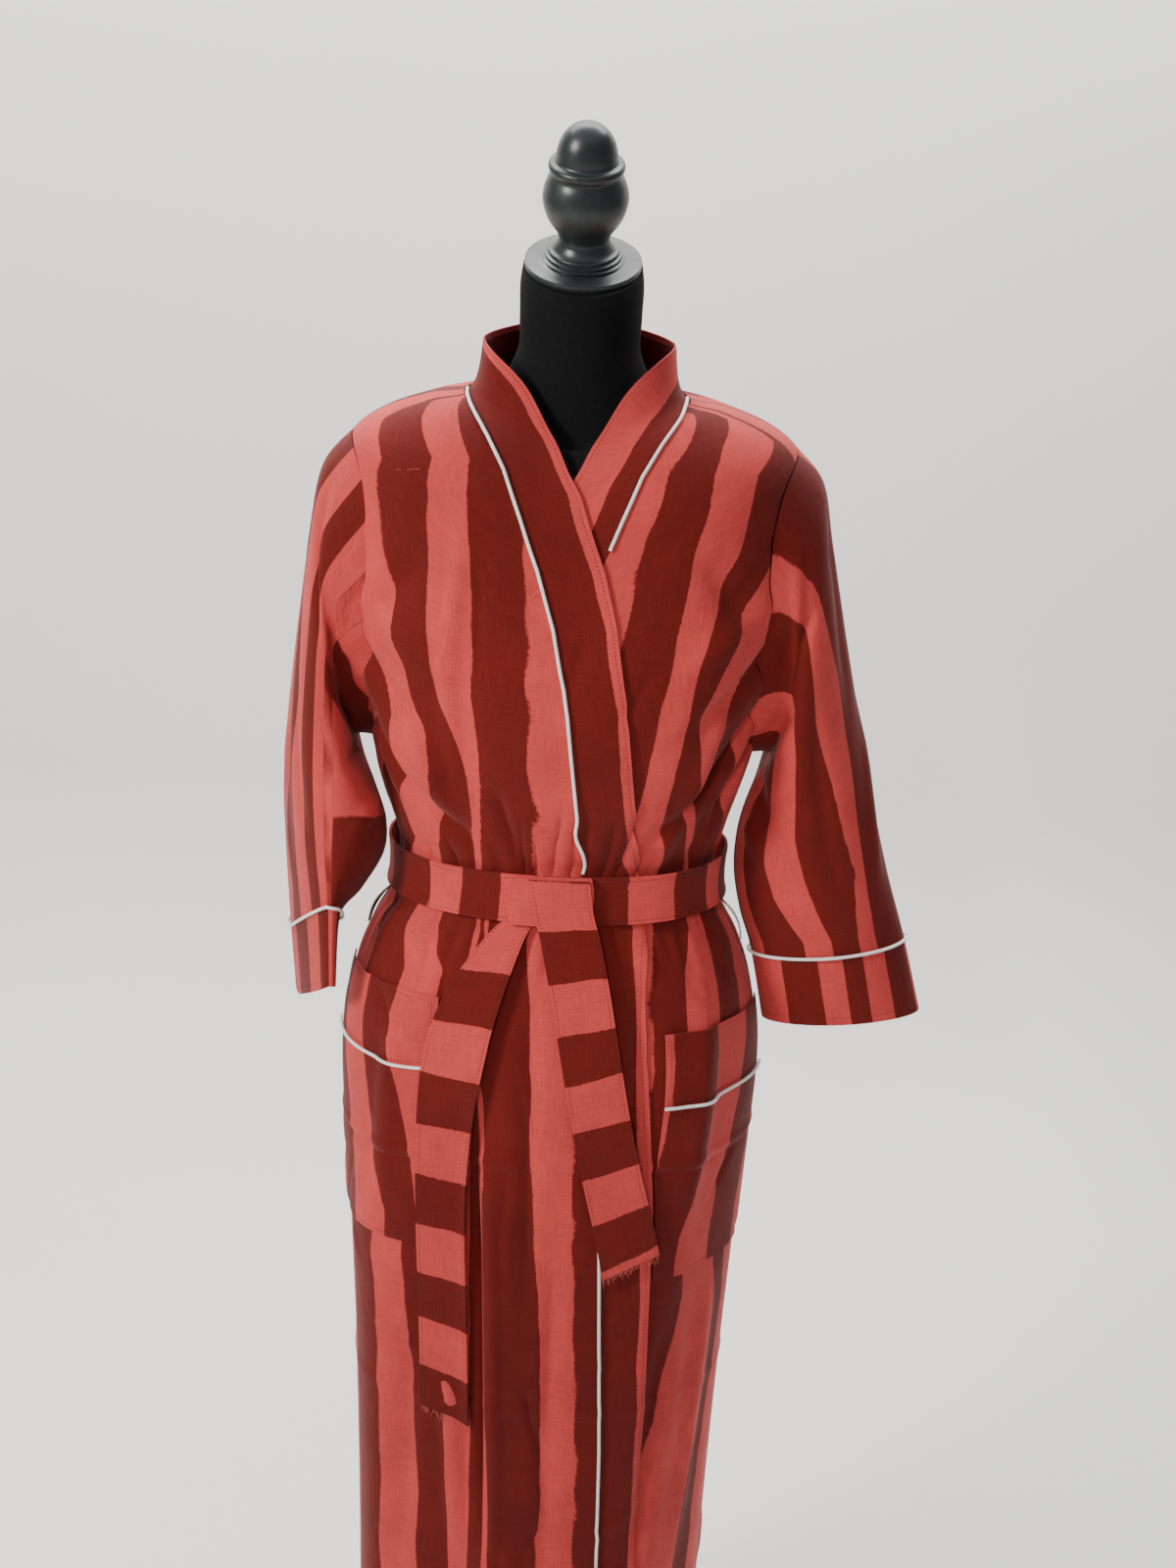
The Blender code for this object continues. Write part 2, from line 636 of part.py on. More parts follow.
def make_sleeve(name, side, table, cuff_end, made, piping_made):
    sleeve, cuff = sleeve_grid(side, table, cuff_end)
    normals = ring_normals(np.concatenate([sleeve, cuff[1:]]))
    split = len(sleeve)
    wall("sleeve_" + name, sleeve, sleeve + normals[:split] * WALL, made, wrap=True)
    wall("cuff_" + name, cuff, cuff + normals[split - 1:] * WALL, made, wrap=True)
    path = sleeve[-1] + normals[split - 1] * (WALL + TRIM_GAP + PIPING_RADIUS)
    tube("piping_cuff_" + name, path, PIPING_RADIUS, piping_made, closed=True)


def make_pocket(pocket, made, piping_made):
    """A patch pocket from the side seam forward, its deep top band and the piping between them."""
    def lift(d, v):
        return (over_lift(d) if pocket.lifted else 0.0) + WALL + POCKET_GAP

    def line(z):
        level = level_at(z)
        columns = front_angles(level)[:pocket.columns + 1]
        columns[0] += (columns[1] - columns[0]) * POCKET_STARTS
        if not pocket.lifted:
            columns[-1] = min(columns[-1], -band_run(level)[1] - POCKET_TO_BAND_DEG)
        return [(-pocket.side * d, level) for d in columns]

    seam = pocket.top - POCKET_BAND
    low = [line(z) for z in np.linspace(seam - SEAM_GAP / 2, pocket.bottom, 6)]
    high = [line(z) for z in np.linspace(pocket.top, seam + SEAM_GAP / 2, 3)]
    body_wall("pocket_" + pocket.name, low, lift, made)
    body_wall("pocket_band_" + pocket.name, high, lift, made)
    radius = PIPING_RADIUS
    cord = [on_body(d, v, lift(d, v) + WALL + TRIM_GAP + radius) for d, v in line(seam)]
    tube("piping_pocket_" + pocket.name, cord, radius, piping_made)


def strip(name, table, steps, thickness, slant, made):
    """A flat length of belt that hangs on the body: each row has a height, a place and a lift."""
    inner, outer = [], []
    for position in np.linspace(0, len(table) - 1, steps + 1):
        row = StripAt(*along(table, position))
        share = (table[0].z - row.z) / (table[0].z - table[-1].z)
        points_in, points_out = [], []
        for side in (-1, -0.33, 0.33, 1):
            level = level_at(row.z + side * slant * share)
            angle = angle_at(row.x + side * row.half_width, level)
            points_in.append(on_body(angle, level, row.lift))
            points_out.append(on_body(angle, level, row.lift + thickness))
        inner.append(points_in)
        outer.append(points_out)
    wall(name, inner, outer, made)


def make_belt(made):
    half = BELT_WIDTH / 2
    angles = np.linspace(-180, 180, BELT_COLUMNS + 1)[:-1]
    rows = [[(d, level_at(z)) for d in angles] for z in np.linspace(BELT_Z + half, BELT_Z - half, 3)]
    inner = [[on_body(d, v, BELT_LIFT) for d, v in row] for row in rows]
    outer = [[on_body(d, v, BELT_LIFT + BELT_THICKNESS) for d, v in row] for row in rows]
    wall("belt_ring", inner, outer, made, wrap=True)
    strip("belt_knot", KNOT, 4, KNOT_THICKNESS, 0.0, made)
    strip("belt_tail_left", TAIL_LEFT, TAIL_STEPS, BELT_THICKNESS, TAIL_SLANT["left"], made)
    strip("belt_tail_right", TAIL_RIGHT, TAIL_STEPS, BELT_THICKNESS, TAIL_SLANT["right"], made)


def make_belt_loop(name, side, made):
    """A narrow strap on the side seam, bowed out between its two ends."""
    inner, outer = [], []
    for t in np.linspace(0, 1, 7):
        level = level_at(LOOP_TOP - LOOP_LENGTH * t)
        bow = WALL + TRIM_GAP + LOOP_BOW * math.sin(math.pi * t)
        half = math.degrees(LOOP_WIDTH / 2 / abs(surface(90, level)[0]))
        angles = (side * 90 - half, side * 90 + half)
        inner.append([on_body(d, level, bow) for d in angles])
        outer.append([on_body(d, level, bow + WALL) for d in angles])
    wall("belt_loop_" + name, inner, outer, made)


def form_ease(degrees, level):
    """The form's clearance under the cloth: it carries the robe at the back of the shoulders."""
    front = max(0.0, math.cos(math.radians(degrees)))
    shoulder = FORM_EASE_SHOULDER + FORM_EASE_FRONT * smooth_step(0.0, 0.3, front)
    return shoulder + (FORM_EASE_BODY - shoulder) * smooth_step(EASE_STARTS, EASE_FULL, level)


def form_point(degrees, level):
    """The form under the robe has no folds, and stays inside the deepest of them."""
    flat = at_radius(degrees, *plain_radius(degrees, level))
    return flat - surface_normal(degrees, level) * form_ease(degrees, level)


def form_rings():
    """The rings of the form, from the cap's seat over the neck and shoulders to its flat foot."""
    angles = [90 + 360 * k / FORM_SIDES for k in range(FORM_SIDES)]
    rings = []
    for z, radius, tilt in NECK_RINGS:
        ring = []
        for d in angles:
            a = math.radians(d)
            x, y = radius * math.sin(a), -radius * NECK_DEPTH_SHARE * math.cos(a)
            ring.append((x, y + NECK_Y, z + y * math.tan(CAP_TILT) * tilt))
        rings.append(ring)
    base = [surface(d, NECK_LEVEL) for d in angles]
    rings.append([(p[0] * NECK_BASE_SHARE, p[1] * NECK_BASE_SHARE, p[2] - NECK_BASE_DROP) for p in base])
    for level in FORM_LEVELS + [level_at(FORM_BOTTOM)]:
        rings.append([form_point(d, level) for d in angles])
    return rings


def make_form(jersey, wood, metal):
    bm = bmesh.new()
    made = [[bm.verts.new(p) for p in ring] for ring in form_rings()]
    for first, second in zip(made, made[1:]):
        for k in range(FORM_SIDES):
            n = (k + 1) % FORM_SIDES
            bm.faces.new((first[k], first[n], second[n], second[k]))
    bm.faces.new(made[0])
    bm.faces.new(made[-1])
    add_object("form_torso", bm, jersey)

    seat = (0, NECK_Y - SEAT_GAP * math.sin(CAP_TILT), NECK_TOP + SEAT_GAP)
    turned("finial", FINIAL_PROFILE, FINIAL_HEIGHT, FINIAL_SIDES, wood, (seat, (CAP_TILT, 0, 0)))
    pole = [(POLE_RADIUS, BASE_HEIGHT + SEAT_GAP), (POLE_RADIUS, FORM_BOTTOM - POLE_TIP - SEAT_GAP)]
    turned("stand_pole", pole, FORM_BOTTOM - SEAT_GAP, POLE_SIDES, metal)
    turned("stand_base", BASE_PROFILE, BASE_HEIGHT, BASE_SIDES, metal)


def main():
    clear_scene()
    cloth = material("robe_cloth", DARK_RED, 0.85)
    over_cloth = material("front_over_cloth", DARK_RED, 0.85)
    under_cloth = material("front_under_cloth", PINK, 0.85)
    band_cloth = material("band_cloth", DARK_RED, 0.85)
    sleeve_cloth = material("sleeve_cloth", PINK, 0.85)
    belt_cloth = material("belt_cloth", PINK, 0.85)
    piping = material("piping", WHITE, 0.7)
    jersey = material("form_jersey", BLACK_JERSEY, 0.95)
    wood = material("finial_paint", BLACK_WOOD, 0.35)
    metal = material("stand_metal", BLACK_WOOD, 0.4, 0.8)
    make_back(cloth)
    make_fronts(over_cloth, under_cloth)
    make_bands(band_cloth)
    make_band_piping(piping)
    make_sleeve("right", 1, SLEEVE_RIGHT, CUFF_END_RIGHT, sleeve_cloth, piping)
    make_sleeve("left", -1, SLEEVE_LEFT, CUFF_END_LEFT, sleeve_cloth, piping)
    for pocket in POCKETS:
        make_pocket(pocket, cloth, piping)
    make_belt(belt_cloth)
    make_belt_loop("left", -1, cloth)
    make_belt_loop("right", 1, cloth)
    make_form(jersey, wood, metal)


main()
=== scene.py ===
import math
import random
from collections import namedtuple

import bpy
import numpy as np
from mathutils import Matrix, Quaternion, Vector


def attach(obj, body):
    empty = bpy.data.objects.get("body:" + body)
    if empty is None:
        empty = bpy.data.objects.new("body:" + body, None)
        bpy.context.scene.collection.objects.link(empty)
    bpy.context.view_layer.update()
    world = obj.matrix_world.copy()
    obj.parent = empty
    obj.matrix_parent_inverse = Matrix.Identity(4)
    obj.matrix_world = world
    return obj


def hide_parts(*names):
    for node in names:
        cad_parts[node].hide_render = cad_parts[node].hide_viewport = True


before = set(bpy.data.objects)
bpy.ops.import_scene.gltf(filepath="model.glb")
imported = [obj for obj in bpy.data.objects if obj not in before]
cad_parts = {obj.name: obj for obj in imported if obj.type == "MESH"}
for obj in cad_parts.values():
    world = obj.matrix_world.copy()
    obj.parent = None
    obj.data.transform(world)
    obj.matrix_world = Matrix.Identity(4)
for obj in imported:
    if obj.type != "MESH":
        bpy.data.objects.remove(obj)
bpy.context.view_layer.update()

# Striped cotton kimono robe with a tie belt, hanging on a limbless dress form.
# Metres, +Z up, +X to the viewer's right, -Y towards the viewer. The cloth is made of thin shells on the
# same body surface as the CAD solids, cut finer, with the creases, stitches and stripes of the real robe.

CLOTH = 0.0012
WALL = 0.0015
SEAM_GAP = 0.0003
LAYER_GAP = 0.0022
OVER_LIFT = WALL + LAYER_GAP
PIPING_RADIUS = 0.0018
CORD_RADIUS = 0.0015

# The robe's body: one row for each level, from the top of the neck band down to the hem:
# side_z, front_z, back_z, half_width, front, back.
LEVELS = np.array([
    (1.462, 1.412, 1.474, 0.080, 0.050, 0.062),
    (1.421, 1.388, 1.432, 0.089, 0.064, 0.070),
    (1.412, 1.362, 1.420, 0.125, 0.080, 0.078),
    (1.399, 1.335, 1.400, 0.162, 0.094, 0.085),
    (1.380, 1.305, 1.370, 0.188, 0.105, 0.092),
    (1.350, 1.270, 1.330, 0.199, 0.113, 0.097),
    (1.280, 1.225, 1.275, 0.197, 0.124, 0.102),
    (1.195, 1.170, 1.195, 0.185, 0.134, 0.103),
    (1.110, 1.105, 1.110, 0.166, 0.126, 0.098),
    (1.056, 1.056, 1.056, 0.151, 0.113, 0.092),
    (1.022, 1.022, 1.022, 0.142, 0.101, 0.087),
    (0.978, 0.978, 0.978, 0.143, 0.102, 0.088),
    (0.938, 0.938, 0.938, 0.164, 0.115, 0.103),
    (0.890, 0.890, 0.890, 0.180, 0.123, 0.116),
    (0.820, 0.820, 0.820, 0.187, 0.128, 0.124),
    (0.700, 0.700, 0.700, 0.182, 0.125, 0.122),
    (0.540, 0.540, 0.540, 0.174, 0.121, 0.118),
    (0.370, 0.370, 0.370, 0.168, 0.118, 0.115),
    (0.200, 0.200, 0.200, 0.164, 0.116, 0.113),
])
BAND_TOP_LEVEL = -1.0
NECK_LEVEL = 0.0
HEM_LEVEL = 17.0
SQUARENESS = 2.25

# Long soft folds: angle and half-width in degrees, depth, and the heights between which they show.
FOLDS = [
    (-31, 8, -0.009, 0.86, 0.10),
    (-19, 8, 0.005, 0.80, 0.10),
    (-62, 9, 0.005, 0.76, 0.10),
    (-47, 8, -0.004, 0.70, 0.10),
    (48, 9, 0.006, 0.90, 0.10),
    (66, 9, -0.005, 0.92, 0.10),
    (104, 9, 0.007, 0.90, 0.10),
    (126, 9, -0.007, 0.93, 0.10),
    (150, 10, 0.007, 0.93, 0.10),
    (176, 10, -0.006, 0.95, 0.10),
    (202, 10, 0.007, 0.93, 0.10),
    (226, 9, -0.007, 0.93, 0.10),
    (250, 9, 0.006, 0.90, 0.10),
    (-52, 8, 0.007, 1.20, 1.02),
    (-36, 7, -0.005, 1.22, 1.02),
    (44, 8, 0.006, 1.20, 1.02),
    (60, 7, -0.005, 1.20, 1.02),
    (130, 9, 0.006, 1.20, 1.02),
    (155, 9, -0.005, 1.18, 1.02),
    (180, 9, 0.006, 1.20, 1.02),
    (205, 9, -0.005, 1.18, 1.02),
    (230, 9, 0.006, 1.20, 1.02),
]
FOLD_FADE = 0.10

# Sharper creases: start angle and height, end angle and height, half-width and depth in metres.
CREASES = [
    (-86, 1.205, -50, 1.070, 0.0060, -0.0105),
    (-84, 1.175, -62, 1.045, 0.0055, -0.0088),
    (-80, 1.235, -42, 1.130, 0.0070, -0.0088),
    (-76, 1.270, -34, 1.190, 0.0080, 0.0061),
    (-66, 1.120, -30, 1.035, 0.0060, -0.0079),
    (-56, 1.200, -40, 1.060, 0.0060, 0.0061),
    (-40, 1.330, -37, 1.080, 0.0050, 0.0039),
    (-50, 1.300, -66, 1.220, 0.0090, -0.0061),
    (-24, 1.110, -17, 1.030, 0.0060, -0.0052),
    (86, 1.210, 50, 1.075, 0.0060, -0.0105),
    (84, 1.170, 62, 1.045, 0.0055, -0.0096),
    (80, 1.240, 40, 1.140, 0.0070, -0.0088),
    (74, 1.275, 36, 1.200, 0.0080, 0.0061),
    (66, 1.125, 32, 1.040, 0.0060, -0.0079),
    (56, 1.190, 44, 1.060, 0.0060, 0.0061),
    (48, 1.310, 64, 1.220, 0.0090, -0.0061),
    (-26, 0.800, -18, 0.300, 0.0055, -0.0105),
    (-21.5, 0.800, -14, 0.300, 0.0050, 0.0052),
    (-44, 0.960, -30, 0.640, 0.0070, -0.0061),
    (-52, 0.930, -58, 0.660, 0.0070, 0.0052),
    (-38, 0.620, -30, 0.280, 0.0080, 0.0061),
    (-50, 0.600, -56, 0.240, 0.0090, -0.0061),
    (-8, 0.950, -4, 0.560, 0.0080, -0.0044),
    (6, 0.700, 8, 0.260, 0.0090, -0.0044),
    (36, 0.960, 30, 0.600, 0.0070, -0.0061),
    (58, 0.950, 50, 0.640, 0.0080, 0.0061),
    (50, 0.620, 42, 0.260, 0.0080, -0.0070),
    (70, 0.640, 62, 0.260, 0.0080, 0.0061),
    (120, 1.230, 150, 1.060, 0.0080, -0.0088),
    (240, 1.230, 210, 1.060, 0.0080, -0.0088),
    (110, 1.180, 128, 1.040, 0.0070, -0.0079),
    (250, 1.180, 232, 1.040, 0.0070, -0.0079),
    (128, 1.330, 152, 1.180, 0.0110, -0.0070),
    (232, 1.330, 208, 1.180, 0.0110, -0.0070),
]
# The fold lines pressed into the cloth: height, half-width and depth, all the way round.
PRESSED_LINES = [(0.756, 0.0035, 0.0016), (0.750, 0.0035, -0.0012), (0.505, 0.0040, 0.0010)]
METRES_PER_DEGREE = 0.0026

# The neck band down the front on top: height, seam x, free edge x.
BAND_RUN = np.array([
    (1.362, -0.0725, -0.003),
    (1.345, -0.0572, 0.008),
    (1.317, -0.0420, 0.018),
    (1.284, -0.0256, 0.030),
    (1.240, -0.0100, 0.0415),
    (1.173, 0.0047, 0.0535),
    (1.080, 0.0165, 0.0655),
    (1.034, 0.0207, 0.0705),
    (1.000, 0.0240, 0.074),
    (0.841, 0.0400, 0.091),
    (0.708, 0.0510, 0.099),
    (0.464, 0.0620, 0.102),
    (0.200, 0.0680, 0.103),
])
# Its turn round the neck: seam angle, seam level, free edge angle, free edge level.
BAND_TURN = [
    (90, 0.00, 90, -1.00),
    (73, 0.25, 62, -0.93),
    (61, 0.55, 38, -0.68),
    (52.5, 0.80, 15, 0.08),
]
TURN_END_LEVEL = 1.0
UNDER_PIPING_ENDS_DEG = -17.5

ARMHOLE_TOP = 3.0
ARMHOLE_BOTTOM = 7.0
ARMHOLE_HALF_DEG = 24.0
SLEEVE_HEAD_INSET = 0.052
SLEEVE_FOOT_INSET = 0.018
SLEEVE_SIDE_INSET_DEG = 0.48

# Sleeve rings: outer x and z, then x, y and z of the inner, front and back points. The last is the cuff's end.
SLEEVE_RINGS = {
    "right": [
        (0.2125, 1.352, 0.1840, -0.002, 1.110, 0.198, -0.069, 1.235, 0.198, 0.064, 1.231),
        (0.2230, 1.300, 0.1740, -0.004, 1.086, 0.206, -0.070, 1.195, 0.206, 0.062, 1.193),
        (0.2390, 1.225, 0.1650, -0.004, 1.060, 0.213, -0.066, 1.142, 0.213, 0.058, 1.142),
        (0.2580, 1.145, 0.1600, -0.004, 1.032, 0.219, -0.061, 1.088, 0.219, 0.052, 1.088),
        (0.2775, 1.067, 0.1600, -0.005, 0.998, 0.225, -0.055, 1.032, 0.225, 0.045, 1.032),
        (0.2960, 1.002, 0.1680, -0.005, 0.960, 0.234, -0.048, 0.981, 0.234, 0.038, 0.981),
        (0.3160, 0.941, 0.1800, -0.004, 0.924, 0.247, -0.040, 0.932, 0.247, 0.032, 0.932),
        (0.3360, 0.871, 0.1945, -0.004, 0.858, 0.262, -0.034, 0.864, 0.262, 0.026, 0.864),
    ],
    "left": [
        (-0.2130, 1.350, -0.1840, -0.004, 1.110, -0.199, -0.071, 1.235, -0.201, 0.064, 1.230),
        (-0.2220, 1.300, -0.1740, -0.014, 1.090, -0.202, -0.078, 1.205, -0.212, 0.062, 1.190),
        (-0.2300, 1.225, -0.1620, -0.030, 1.068, -0.202, -0.084, 1.160, -0.222, 0.060, 1.135),
        (-0.2360, 1.140, -0.1520, -0.048, 1.046, -0.201, -0.088, 1.112, -0.230, 0.059, 1.080),
        (-0.2380, 1.070, -0.1530, -0.054, 1.018, -0.200, -0.090, 1.068, -0.236, 0.058, 1.030),
        (-0.2370, 1.000, -0.1720, -0.050, 0.982, -0.199, -0.088, 1.022, -0.238, 0.058, 0.975),
        (-0.2350, 0.928, -0.1935, -0.040, 0.948, -0.197, -0.085, 0.976, -0.238, 0.058, 0.915),
        (-0.2300, 0.860, -0.1990, -0.036, 0.880, -0.1955, -0.082, 0.899, -0.236, 0.060, 0.850),
    ],
}
# Creases on the sleeves: start row and turn, end row and turn, half-width and depth in metres.
SLEEVE_CREASES = {
    "right": [
        (0.2, 150, 2.6, 100, 0.0070, -0.0055),
        (0.1, 118, 1.8, 66, 0.0070, -0.0045),
        (0.5, 60, 1.2, 122, 0.0050, 0.0030),
        (1.6, 172, 4.4, 122, 0.0070, -0.0050),
        (3.2, 168, 5.6, 112, 0.0070, 0.0040),
        (2.4, 90, 6.2, 70, 0.0090, -0.0040),
        (1.0, 20, 4.0, 44, 0.0090, -0.0035),
        (3.6, 8, 6.4, 40, 0.0090, 0.0035),
        (0.4, 250, 3.4, 290, 0.0080, -0.0050),
        (2.0, 200, 5.4, 250, 0.0080, -0.0040),
    ],
    "left": [
        (0.2, 160, 2.2, 112, 0.0060, -0.0050),
        (1.2, 170, 3.8, 116, 0.0065, -0.0050),
        (2.8, 172, 5.4, 118, 0.0065, 0.0040),
        (0.4, 30, 2.6, 80, 0.0080, -0.0040),
        (2.2, 10, 6.0, 62, 0.0080, -0.0040),
        (4.0, 340, 6.8, 20, 0.0080, 0.0035),
        (0.4, 250, 3.4, 300, 0.0080, -0.0050),
        (2.0, 200, 5.4, 240, 0.0080, -0.0040),
    ],
}
METRES_PER_RING = 0.062
METRES_PER_TURN_DEGREE = 0.00136

Pocket = namedtuple("Pocket", "name side top bottom columns lifted")
POCKETS = [
    Pocket("left", -1, 0.905, 0.664, 8, True),
    Pocket("right", 1, 0.880, 0.640, 8, False),
]
POCKET_BAND = 0.066
POCKET_GAP = 0.0012
POCKET_STARTS = 0.35
POCKET_TO_BAND_DEG = 0.8
FRONT_COLUMNS = 19

BELT_WIDTH = 0.046
BELT_THICKNESS = 0.0024
BELT_Z = 1.000
BELT_LIFT = 0.0078
KNOT_THICKNESS = 0.0050
# Belt strips: z, x, half width, lift.
KNOT = [
    (1.0245, 0.000, 0.030, 0.0109),
    (1.0120, -0.001, 0.033, 0.0109),
    (1.0000, -0.002, 0.034, 0.0109),
    (0.9880, -0.003, 0.034, 0.0109),
    (0.9755, -0.004, 0.031, 0.0109),
]
TAIL_LEFT = [
    (0.9763, -0.030, 0.013, 0.0078),
    (0.9580, -0.041, 0.016, 0.0100),
    (0.9200, -0.060, 0.022, 0.0140),
    (0.8700, -0.075, 0.025, 0.0142),
    (0.8000, -0.083, 0.025, 0.0142),
    (0.7000, -0.084, 0.024, 0.0135),
    (0.6000, -0.081, 0.024, 0.0095),
    (0.4900, -0.077, 0.024, 0.0085),
]
TAIL_RIGHT = [
    (1.0240, 0.003, 0.025, 0.0166),
    (0.9900, 0.008, 0.024, 0.0166),
    (0.9600, 0.015, 0.024, 0.0166),
    (0.9200, 0.025, 0.024, 0.0140),
    (0.8700, 0.035, 0.024, 0.0118),
    (0.8100, 0.047, 0.024, 0.0112),
    (0.7500, 0.060, 0.024, 0.0110),
    (0.7000, 0.072, 0.024, 0.0108),
    (0.6600, 0.080, 0.024, 0.0105),
]
TAIL_SLANT = {"left": -0.006, "right": 0.012}

LOOP_TOP = 0.966
LOOP_LENGTH = 0.036
LOOP_WIDTH = 0.005
LOOP_BOW = 0.0035

# Dress form and stand.
FORM_BOTTOM = 0.800
NECK_TOP = 1.524
NECK_Y = 0.004
CAP_TILT = math.radians(22)
NECK_RINGS = [(NECK_TOP, 0.0500, 1.0), (1.508, 0.0520, 0.9), (1.480, 0.0515, 0.55), (1.452, 0.0525, 0.2)]
FORM_LEVELS = [0.25, 0.6, 1.0, 1.6, 2.3, 3.0, 3.6, 4.4, 5.2, 6.0, 7.0, 8.0, 9.0, 10.0, 11.0]
FINIAL_PROFILE = [
    (0.0490, 0.0000), (0.0490, 0.0045), (0.0475, 0.0060), (0.0345, 0.0066), (0.0345, 0.0088),
    (0.0322, 0.0098), (0.0322, 0.0122), (0.0298, 0.0132), (0.0298, 0.0156), (0.0262, 0.0175),
    (0.0222, 0.0230), (0.0215, 0.0275), (0.0242, 0.0340), (0.0310, 0.0440), (0.0352, 0.0570),
    (0.0352, 0.0670), (0.0322, 0.0770), (0.0292, 0.0830), (0.0302, 0.0855), (0.0315, 0.0890),
    (0.0302, 0.0925), (0.0258, 0.0945), (0.0250, 0.1010), (0.0222, 0.1110), (0.0165, 0.1195),
    (0.0085, 0.1248), (0.0010, 0.1262),
]
POLE_PROFILE = [(0.0125, 0.0223), (0.0125, 0.7977), (0.0105, 0.7993)]
BASE_PROFILE = [
    (0.1785, 0.0), (0.1800, 0.0015), (0.1800, 0.0090), (0.1785, 0.0122), (0.1746, 0.0150), (0.0900, 0.0202),
    (0.0300, 0.0216), (0.0140, 0.0220),
]


# The body surface
def smooth_step(low, high, value):
    t = np.clip((value - low) / (high - low), 0.0, 1.0)
    return t * t * (3 - 2 * t)


def along(table, position):
    """Rows between the rows of a table, on a smooth curve through them."""
    table = np.asarray(table, float)
    position = np.clip(np.asarray(position, float), 0.0, len(table) - 1.0)
    i = np.minimum(position.astype(int), len(table) - 2)
    t = (position - i)[..., None]
    before = table[np.maximum(i - 1, 0)]
    first, last = table[i], table[i + 1]
    after = table[np.minimum(i + 2, len(table) - 1)]
    return 0.5 * (
        2 * first
        + (last - before) * t
        + (2 * before - 5 * first + 4 * last - after) * t * t
        + (3 * first - before - 3 * last + after) * t * t * t
    )


def fold_depth(degrees, z):
    """How far the folds move the cloth out at angles and heights."""
    total = np.zeros_like(degrees)
    for angle, spread, depth, top, bottom in FOLDS:
        away = (degrees - angle + 180) % 360 - 180
        shown = smooth_step(top + 0.01, top + 0.01 - FOLD_FADE, z)
        shown = shown * smooth_step(bottom - 0.01, bottom + FOLD_FADE, z)
        near = np.abs(away) <= 3 * spread
        total += np.where(near, depth * shown * np.exp(-0.5 * (away / spread) ** 2), 0.0)
    return total


def line_dent(across, down, line):
    """The depth of one crease at offsets from its start, as (run across, run down, half-width, depth)."""
    run_across, run_down, spread, depth = line
    length = math.hypot(run_across, run_down)
    place = (across * run_across + down * run_down) / length ** 2
    off = (across * run_down - down * run_across) / length
    shown = smooth_step(0.0, 0.3, place) * smooth_step(1.0, 0.6, place)
    return depth * shown * np.exp(-0.5 * (off / spread) ** 2)


def gathers():
    """Short creases above and below the belt, where it pulls the cloth in."""
    pick = random.Random(4)
    made = []
    for start, reach in ((1.008, 0.085), (0.992, -0.100)):
        angle = -179.0
        while angle < 175:
            angle += pick.uniform(4.5, 10.0)
            end = start + reach * pick.uniform(0.55, 1.15)
            depth = pick.uniform(0.0014, 0.0026) * pick.choice((-1.5, 1.0))
            made.append((angle, start, angle + pick.uniform(-5, 5), end, pick.uniform(0.0028, 0.0045), depth))
    return made


def small_creases():
    """Short shallow creases all over, mostly upright, as in cotton that has hung and been sat on."""
    pick = random.Random(21)
    made = []
    for _ in range(120):
        angle, height = pick.uniform(-180, 180), pick.uniform(0.24, 1.34)
        length, lean = pick.uniform(0.03, 0.11), pick.gauss(0, 0.45)
        depth = pick.uniform(0.0010, 0.0022) * pick.choice((-1.2, 1))
        across = length * math.sin(lean) / METRES_PER_DEGREE
        made.append((angle, height, angle + across, height - length * math.cos(lean), pick.uniform(0.0025, 0.0045), depth))
    return made


ALL_CREASES = CREASES + gathers() + small_creases()


def crease_depth(degrees, z):
    """How far the creases move the cloth out at angles and heights."""
    total = np.zeros_like(z)
    for start_deg, start_z, end_deg, end_z, spread, depth in ALL_CREASES:
        across = ((degrees - start_deg + 180) % 360 - 180) * METRES_PER_DEGREE
        run = (end_deg - start_deg) * METRES_PER_DEGREE
        total += line_dent(across, z - start_z, (run, end_z - start_z, spread, depth))
    for height, spread, depth in PRESSED_LINES:
        total += depth * np.exp(-0.5 * ((z - height) / spread) ** 2)
    return total


def surface(degrees, level, folded=True, creased=True):
    """The robe's inner surface at angles (0 in front, 90 at +X) and levels of the table."""
    degrees, level = np.broadcast_arrays(np.asarray(degrees, float), np.asarray(level, float))
    side_z, front_z, back_z, half_width, front, back = np.moveaxis(along(LEVELS, level - BAND_TOP_LEVEL), -1, 0)
    a = np.radians(degrees)
    s, c = np.sin(a), np.cos(a)
    depth = np.where(c > 0, front, back)
    facing_z = np.where(c > 0, front_z, back_z)
    across = np.abs(s / half_width) ** SQUARENESS
    radius = (across + np.abs(c / depth) ** SQUARENESS) ** (-1 / SQUARENESS)
    z = side_z * s * s + facing_z * c * c
    if folded:
        radius = radius + fold_depth(degrees, z)
    if folded and creased:
        radius = radius + crease_depth(degrees, z)
    return np.stack((radius * s, -radius * c, z), -1)


def surface_normal(degrees, level, creased=True):
    step_deg, step_level = 0.5, 0.02
    low = np.maximum(level - step_level, BAND_TOP_LEVEL)
    high = np.minimum(level + step_level, HEM_LEVEL)
    right = surface(degrees + step_deg, level, creased=creased)
    across = right - surface(degrees - step_deg, level, creased=creased)
    down = surface(degrees, high, creased=creased) - surface(degrees, low, creased=creased)
    normal = np.cross(down, across)
    return normal / np.linalg.norm(normal, axis=-1, keepdims=True)


def on_body(degrees, level, lift, creased=True):
    degrees, level = np.broadcast_arrays(np.asarray(degrees, float), np.asarray(level, float))
    lift = np.broadcast_to(np.asarray(lift, float), degrees.shape)
    normal = surface_normal(degrees, level, creased)
    return surface(degrees, level, creased=creased) + normal * lift[..., None]


